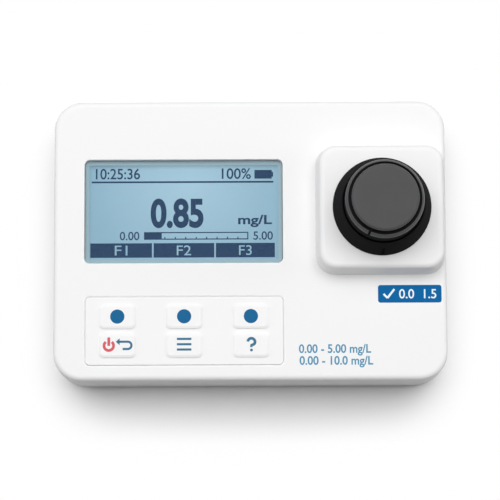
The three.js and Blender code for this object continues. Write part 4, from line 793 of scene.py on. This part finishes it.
def threadRows(radius, low, high, step=0.25):
    # close rows over a threaded length, upwards or downwards
    height = np.linspace(low, high, int(abs(high - low) / step) + 1)
    return np.stack([np.full_like(height, radius), height], axis=1)


def capGrid(s):
    # Disc, groove and bevelled ring over a skirt with the thread inside. The notch cuts the radius down to
    # a floor where a point is near the notch's line.
    outer = rounded([(0, s.top), (s.discRadius, s.top, s.discFillet), (s.grooveRadius, s.grooveLow),
        (s.ringRadius, s.grooveLow), (s.ringRadius, s.ringTop, s.ringEdge),
        (s.radius, s.shoulder, s.shoulderFillet), (s.radius, s.low, s.rimEdge), (s.bore, s.low)], 6)
    inner = rounded([(s.bore, s.boreTop), (s.upperBore, s.boreTop), (s.upperBore, s.roof), (0, s.roof)], 3)
    path = tidyPath(np.vstack([outer, threadRows(s.bore, s.low, s.boreTop), inner]))

    def shape(radius, angle, height):
        inside = (radius < s.bore + near) & (height < s.boreTop - 2 * near)
        climbed = threadHeight(angle, height, s.threadMiddle, s.threadTurns)
        radius = radius - thread.depth * climbed * inside
        across = radius * np.sin(angle - math.radians(s.notchAngle))
        ahead = np.cos(angle - math.radians(s.notchAngle)) > 0
        cut = (np.abs(across) < s.notchHalfWidth) & ahead & (height > s.notchLow)
        floor = s.ringRadius - s.notchDepth
        rim = radius > s.ringRadius - 2 * hair
        return np.where(cut & rim, floor, radius)
    half = math.degrees(s.notchHalfWidth / s.ringRadius)
    return lathe(path, well, turnAngles([s.notchAngle - half, s.notchAngle + half]), shape=shape)


def paintCapShade(piece, s):
    # Painted shade: faces with their middle in the groove between the disc and the bevelled ring, or below
    # the shoulder, get the darker matt black as the second material. It stands in for the shade that falls
    # in the groove and under the shoulder.
    mesh = piece.data
    middles = np.zeros(len(mesh.polygons) * 3)
    mesh.polygons.foreach_get("center", middles)
    middles = middles.reshape(-1, 3) / mm
    away = np.hypot(middles[:, 0] - well[0], middles[:, 1] - well[1])
    inGroove = (away > s.discRadius - 2 * near) & (away < s.ringRadius + near)
    inGroove &= (middles[:, 2] > s.grooveLow - 2 * near) & (middles[:, 2] < s.top - s.discFillet)
    onSkirt = middles[:, 2] < s.skirtTop
    mesh.materials.append(mattNylon)
    mesh.polygons.foreach_set("material_index", (inGroove | onSkirt).astype(np.int32))


capPiece = makePiece("cuvetteCap", skin(capGrid(cap)), satinPolypropylene, replaced=["cuvette_cap"])
# painted shade in the cap's groove and under its shoulder
paintCapShade(capPiece, cap)
liner = Settings(steps=72, flange=10.9, plug=8.9, low=57.0, seat=60.3, top=60.9)
linerPath = rounded([(0, liner.low), (liner.plug, liner.low, wideEdge), (liner.plug, liner.seat),
    (liner.flange, liner.seat, sharpEdge), (liner.flange, liner.top, sharpEdge), (0, liner.top)], 4)
makePiece("capLiner", skin(lathe(linerPath, well, liner.steps)), naturalPolyethylene, replaced=["cap_liner"])

print("keypad")
keypad = Settings(half=(35.6, 12.3), radius=1.6, low=28.8, top=30.15, edge=0.3, keyHalf=(6.5, 4.4),
    keyRadius=1.8, keyTop=30.85, edgeRun=0.9, edgeRise=0.26, edgeRound=0.9, edgeFoot=0.1, flatFrom=1.6,
    flangeTop=27.4, flangeLow=26.6, flangeSide=1.0, flangeFront=0.45, stemRadius=2.2, stemLow=25.3,
    lip=30.3, lipWidth=0.285, holeEdge=0.03)


def keypadPanel(s):
    # plate with six stepped holes: the lip at the foot of each groove reaches almost to its key
    outer = loft(roundPlan(*pad, *s.half, s.radius), [(0, s.low), (0, s.top, s.edge), (2 * s.edge, s.top)],
        8, 5)
    holes = [loft(roundPlan(*keyCentres[k], *s.keyHalf, s.keyRadius, seatGap),
        [(-2 * s.holeEdge, s.top), (0, s.top, s.holeEdge), (0, s.lip), (s.lipWidth, s.lip),
        (s.lipWidth, s.low)], 8, 4) for k in keyNames]
    return skin(outer, *holes) + fill(outer[-1], *ends(holes, 0)) + fill(outer[0], *ends(holes, -1))


def key(s, centre):
    # cap with a shallow bevel all round, on a wider flange that stands on a round stem
    plan = roundPlan(*centre, *s.keyHalf, s.keyRadius)
    cap = loft(plan, [(0, s.flangeTop), (0, s.keyTop - s.edgeRise, s.edgeFoot),
        (s.edgeRun, s.keyTop, s.edgeRound), (s.flatFrom * s.edgeRun, s.keyTop)], 8, 6)
    flange = loft(roundPlan(*centre, s.keyHalf[0] + s.flangeSide, s.keyHalf[1] + s.flangeFront,
        s.keyRadius), [[0, s.flangeLow], [0, s.flangeTop]], 8)
    stem = lathe([(s.stemRadius, s.flangeLow), (s.stemRadius, s.stemLow, softEdge), (0, s.stemLow)], centre,
        smallRound, 3)
    return skin(cap, flange, stem) + fill(cap[-1]) + fill(flange[1], cap[0]) + fill(flange[0], stem[0])


makePiece("keypadPanel", keypadPanel(keypad), whiteKeyAbs, replaced=["keypad_panel"])
for name in keyNames:
    makePiece(name + "Cap", key(keypad, keyCentres[name]), whiteKeyAbs, replaced=[name])

print("cuvette")
tube = Settings(low=5.1, top=60.0, radius=12.3, inner=11.0, base=6.9, edge=1.2, shoulder=43.4, neckLow=45.6,
    neckRadius=10.9, neckInner=9.2, threadMiddle=48.7, threadTurns=1.5, shoulderFillet=1.0, neckFoot=0.8,
    lip=0.6, innerFillet=0.8, baseFillet=1.2)


def cuvetteGrid(s):
    # tube with a shoulder and a neck, whose radius grows by the thread's depth times its height
    bottom = rounded([(0, s.low), (s.radius, s.low, s.edge), (s.radius, s.shoulder, s.shoulderFillet),
        (s.neckRadius, s.neckLow, wideEdge), (s.neckRadius, s.neckLow + s.neckFoot)], 6)
    threaded = threadRows(s.neckRadius, s.neckLow + s.neckFoot, s.top - s.lip)
    top = rounded([(s.neckRadius, s.top - s.lip), (s.neckRadius, s.top, wideEdge),
        (s.neckInner, s.top, wideEdge), (s.neckInner, s.neckLow, s.innerFillet),
        (s.inner, s.shoulder, s.innerFillet), (s.inner, s.base, s.baseFillet), (0, s.base)], 6)

    def shape(radius, angle, height):
        outside = np.abs(radius - s.neckRadius) < hair
        return radius + thread.depth * outside * threadHeight(angle, height, s.threadMiddle, s.threadTurns)
    return lathe(tidyPath(np.vstack([bottom, threaded, top])), well, shape=shape)


makePiece("glassCuvette", skin(cuvetteGrid(tube)), borosilicateGlass, replaced=["cuvette"], sharpAngle=50)

print("display")
display = Settings(window=(35.75, 18.75), windowRadius=1.85, windowLow=27.6, windowTop=29.1, windowEdge=0.2,
    border=1.45, borderLow=27.63, borderTop=27.67, glass=(36.5, 19.5), glassLow=23.6, glassTop=25.6,
    glassRadius=0.4, inkTop=25.63, borderCorner=0.6)
crystal = Settings(middle=(-22.0, 20.0), reach=(37.0, 32.0), edgeColour="#86A5B5", middleColour="#ACC9D7",
    glow=0.6)
litGlass, darkCrystal = crystalGlass(), crystalInk()
windowPlan = roundPlan(*window, *display.window, display.windowRadius)
makePiece("clearWindow", slab(windowPlan, display.windowLow, display.windowTop, display.windowEdge),
    clearPolycarbonate, replaced=["display_window"])
borderHole = roundPlan(*window, display.window[0] - display.border, display.window[1] - display.border,
    display.borderCorner)
borderPlan = roundPlan(*window, *display.window, display.windowRadius, -near)
makePiece("windowBorder", slab(borderPlan, display.borderLow, display.borderTop, 0, [borderHole]),
    borderInk, body="casing")
makePiece("crystalPlate", slab(roundPlan(*window, *display.glass, display.glassRadius), display.glassLow,
    display.glassTop, sharpEdge), litGlass, replaced=["display_glass"])
# Everything that the display shows, as (left, right, front, back) in millimetres
screen = Settings(rule=(-57.6, 8.6, 21.56, 22.2), clock=(-56.1, -40.0, 22.95, 26.9),
    charge=(-10.2, 0.4, 22.95, 26.9), cell=(1.7, 8.0, 23.05, 26.25), cellEnd=(8.0, 8.5, 23.75, 25.55),
    value=(-36.1, -16.9, 4.95, 15.85), unit=(-4.3, 8.0, 5.2, 9.7), least=(-47.3, -40.2, 0.55, 3.65),
    most=(1.2, 8.3, 0.55, 3.65), scale=(-38.5, -0.6, 0.7, 3.5), scaleLine=0.4, reading=0.85, range=5.0,
    tickShares=(0.2, 0.9, 8), tickLength=2.5, softKeys=((-58.0, -35.6), (-35.0, -13.0), (-12.4, 9.0)),
    keyRows=(-5.86, -0.57), keyInset=(8.4, 0.85), narrowOne=0.5)


def boxPlan(left, right, front, back, radius=near):
    # plan of a box by its four sides
    return roundPlan((left + right) / 2, (front + back) / 2, (right - left) / 2, (back - front) / 2, radius)


def onScreen(plan, holes=()):
    # film of dark crystal on the display's glass
    return slab(plan, display.glassTop - hair, display.inkTop, 0, holes, steps=2)


def screenMarks(s):
    # Rule, battery, figures, and a bar of the whole range that is filled as far as the reading.
    marks = []
    for name in ("rule", "cell", "cellEnd"):
        marks += onScreen(boxPlan(*s[name]))
    for text, name, weight in (("10:25:36", "clock", 0.01), ("100%", "charge", 0.01),
            ("0.85", "value", 0.035), ("mg/L", "unit", 0.025), ("0.00", "least", 0.01),
            ("5.00", "most", 0.01)):
        marks += lettering(text, s[name], display.glassTop - hair, display.inkTop, weight)
    left, right, front, back = s.scale
    line = s.scaleLine
    hollow = boxPlan(left + line, right - line, front + line, back - line)
    marks += onScreen(boxPlan(*s.scale), [hollow])
    marks += onScreen(boxPlan(left + line, left + s.reading / s.range * (right - left), front + line,
        back - line))
    for paintedLightShare in np.linspace(*s.tickShares):
        x = left + paintedLightShare * (right - left)
        marks += onScreen(boxPlan(x - line / 2, x + line / 2, front + line, front + s.tickLength * line))
    return marks


makePiece("screenMarks", screenMarks(screen), darkCrystal, body="casing")
low, high = screen.keyRows
keyBoxes = [boxPlan(left, right, low, high) for left, right in screen.softKeys]
makePiece("screenKeyBoxes", [part for plan in keyBoxes for part in onScreen(plan)], darkCrystal,
    body="casing")
labels = []
for number, (left, right) in enumerate(screen.softKeys, 1):
    sideways, upDown = screen.keyInset
    sideways += screen.narrowOne * (number == 1)
    labels += lettering(f"F{number}", (left + sideways, right - sideways, low + upDown, high - upDown),
        display.inkTop - hair, display.inkTop + 2 * hair)
makePiece("screenKeyLabels", labels, litGlass, body="casing")

print("prints")
printHeight, printDepth = 0.02, 0.1
keyPrint = Settings(dot=2.57, ring=1.72, stroke=1.0, powerX=-3.02, powerY=-0.15, powerBar=(-0.2, 1.2, 2.85),
    line=0.8, menuHalf=2.6, menuRows=(2.2, 0.28, -1.62), queryX=0.15, queryY=1.05, queryRadius=1.28,
    queryStem=(-0.15, -0.85), queryDot=-1.9, queryDotRadius=0.52, turnHigh=1.27, turnLow=-1.36, turnX=3.8,
    turnEnd=1.95, tipX=-0.49, headLength=1.35, headHalf=1.25, queryArc=(175, -42), steps=16,
    ringArc=(128, 412), overlap=0.1)


def keyMarks(name, centre):
    # dot, bars, question mark, or power ring and back arrow, each with its name and ink
    x, y = centre
    low, high = keypad.keyTop - printDepth, keypad.keyTop + printHeight
    s = keyPrint
    if name in ("key_f1", "key_f2", "key_f3"):
        return [("dot", disc(x, y, s.dot, low, high), blueInk)]
    if name == "key_menu":
        rows = [band([(x - s.menuHalf, y + row), (x, y + row), (x + s.menuHalf, y + row)], s.line, low,
            high) for row in s.menuRows]
        return [("bars", [part for row in rows for part in row], slateInk)]
    if name == "key_help":
        bow = arcLine(x + s.queryX, y + s.queryY, s.queryRadius, *s.queryArc)
        stem = [(x + s.queryX, y + row) for row in s.queryStem]
        dot = disc(x + s.queryX, y + s.queryDot, s.queryDotRadius, low, high, s.steps)
        return [("mark", band([*bow, *stem], s.stroke, low, high) + dot, slateInk)]
    power = band(arcLine(x + s.powerX, y + s.powerY, s.ring, *s.ringArc), s.stroke, low, high)
    power += band([(x + s.powerX, y + row) for row in s.powerBar], s.stroke, low, high)
    bend, middle = (s.turnHigh - s.turnLow) / 2, (s.turnHigh + s.turnLow) / 2
    root = x + s.tipX + s.headLength
    start, neck = root - s.overlap, x + s.turnX - s.overlap
    turn = [(start, y + s.turnHigh), (neck, y + s.turnHigh), *arcLine(x + s.turnX, y + middle, bend, 90,
        -90, s.steps), (neck, y + s.turnLow), (x + s.turnEnd, y + s.turnLow)]
    arrow = band(turn, s.line, low, high)
    tip = np.array([[x + s.tipX, y + s.turnHigh], [root, y + s.turnHigh + s.headHalf],
        [root, y + s.turnHigh - s.headHalf]])
    head = np.stack([np.column_stack([tip, np.full(len(tip), z)]) for z in (low, high)])
    arrow += skin(head) + fill(head[0]) + fill(head[1])
    return [("power", power, redInk), ("back", arrow, slateInk)]


for name in keyNames:
    for part, marks, ink in keyMarks(name, keyCentres[name]):
        makePiece(f"{name}_{part}", marks, ink, body=name)

casingPrint = Settings(badge=(46.0, 68.9, -23.1, -16.7), badgeRadius=0.9, badgeHeight=0.03,
    badgeFigures=(53.6, 67.0, -21.6, -18.2), tick=((48.0, -19.9), (49.4, -21.4), (51.9, -18.2)),
    tickWidth=0.75, upperLine=(17.4, 43.3, -42.15, -38.0), lowerLine=(17.6, 44.0, -46.4, -42.25),
    badgeEdge=0.02, overlap=0.002, figureWeight=0.01, lineWeight=0.018)
deck, badgeTop = upper.deck, upper.deck + casingPrint.badgeHeight
makePiece("badgePlate", slab(boxPlan(*casingPrint.badge, casingPrint.badgeRadius), deck - hair, badgeTop,
    casingPrint.badgeEdge), badgeInk, body="casing")
tick = np.array(casingPrint.tick)
tickLow, tickTop = badgeTop - hair, badgeTop + printHeight
tickMarks = band(tick[[0, 1]], casingPrint.tickWidth, tickLow, tickTop)
tickMarks += band(tick[[1, 2]], casingPrint.tickWidth, tickLow, tickTop + casingPrint.overlap)
tickMarks += lettering("0.0  1.5", casingPrint.badgeFigures, tickLow, tickTop, casingPrint.figureWeight)
makePiece("badgeMarks", tickMarks, whiteInk, body="casing")
rangeMarks = [lettering(text, casingPrint[line], deck - hair, deck + printHeight, casingPrint.lineWeight)
    for text, line in (("0.00 - 5.00 mg/L", "upperLine"), ("0.00 - 10.0 mg/L", "lowerLine"))]
makePiece("rangeMarks", rangeMarks[0] + rangeMarks[1], steelBlueInk, body="casing")

print("inner pieces")
board, jacket = solderMask(), cellJacket()
finishes = {
    pressedRubber: ["housing_seal", "window_gasket", "collar_seal", "battery_cover_seal"],
    siliconeRubber: ["keypad_mat"],
    zincSteel: [f"{kind}_screw_{i}" for kind in ("case", "board") for i in (1, 2, 3, 4)],
    nickelSteel: ["battery_contact_positive", "battery_contact_negative",
        "battery_link_left", "battery_link_right"],
    tinCan: ["photodetector"],
    jacket: ["battery_1", "battery_2", "battery_3"],
    board: ["main_board", "lamp_board", "detector_board"],
    mouldedEpoxy: ["processor", "reference_detector"],
    blackPolycarbonate: ["buzzer", "display_frame", "ribbon_connector"],
    lightGuide: ["display_backlight"],
    polyimideFilm: ["display_ribbon"],
    ribbonPvc: ["lamp_cable", "detector_cable"],
    mattNylon: ["collar_nut", "optical_block"],
    borosilicateGlass: ["lamp", "lamp_lens"],
    coatedFilter: ["light_filter"]}
for material, names in finishes.items():
    for name in names:
        nodes[name].data.materials.clear()
        nodes[name].data.materials.append(material)
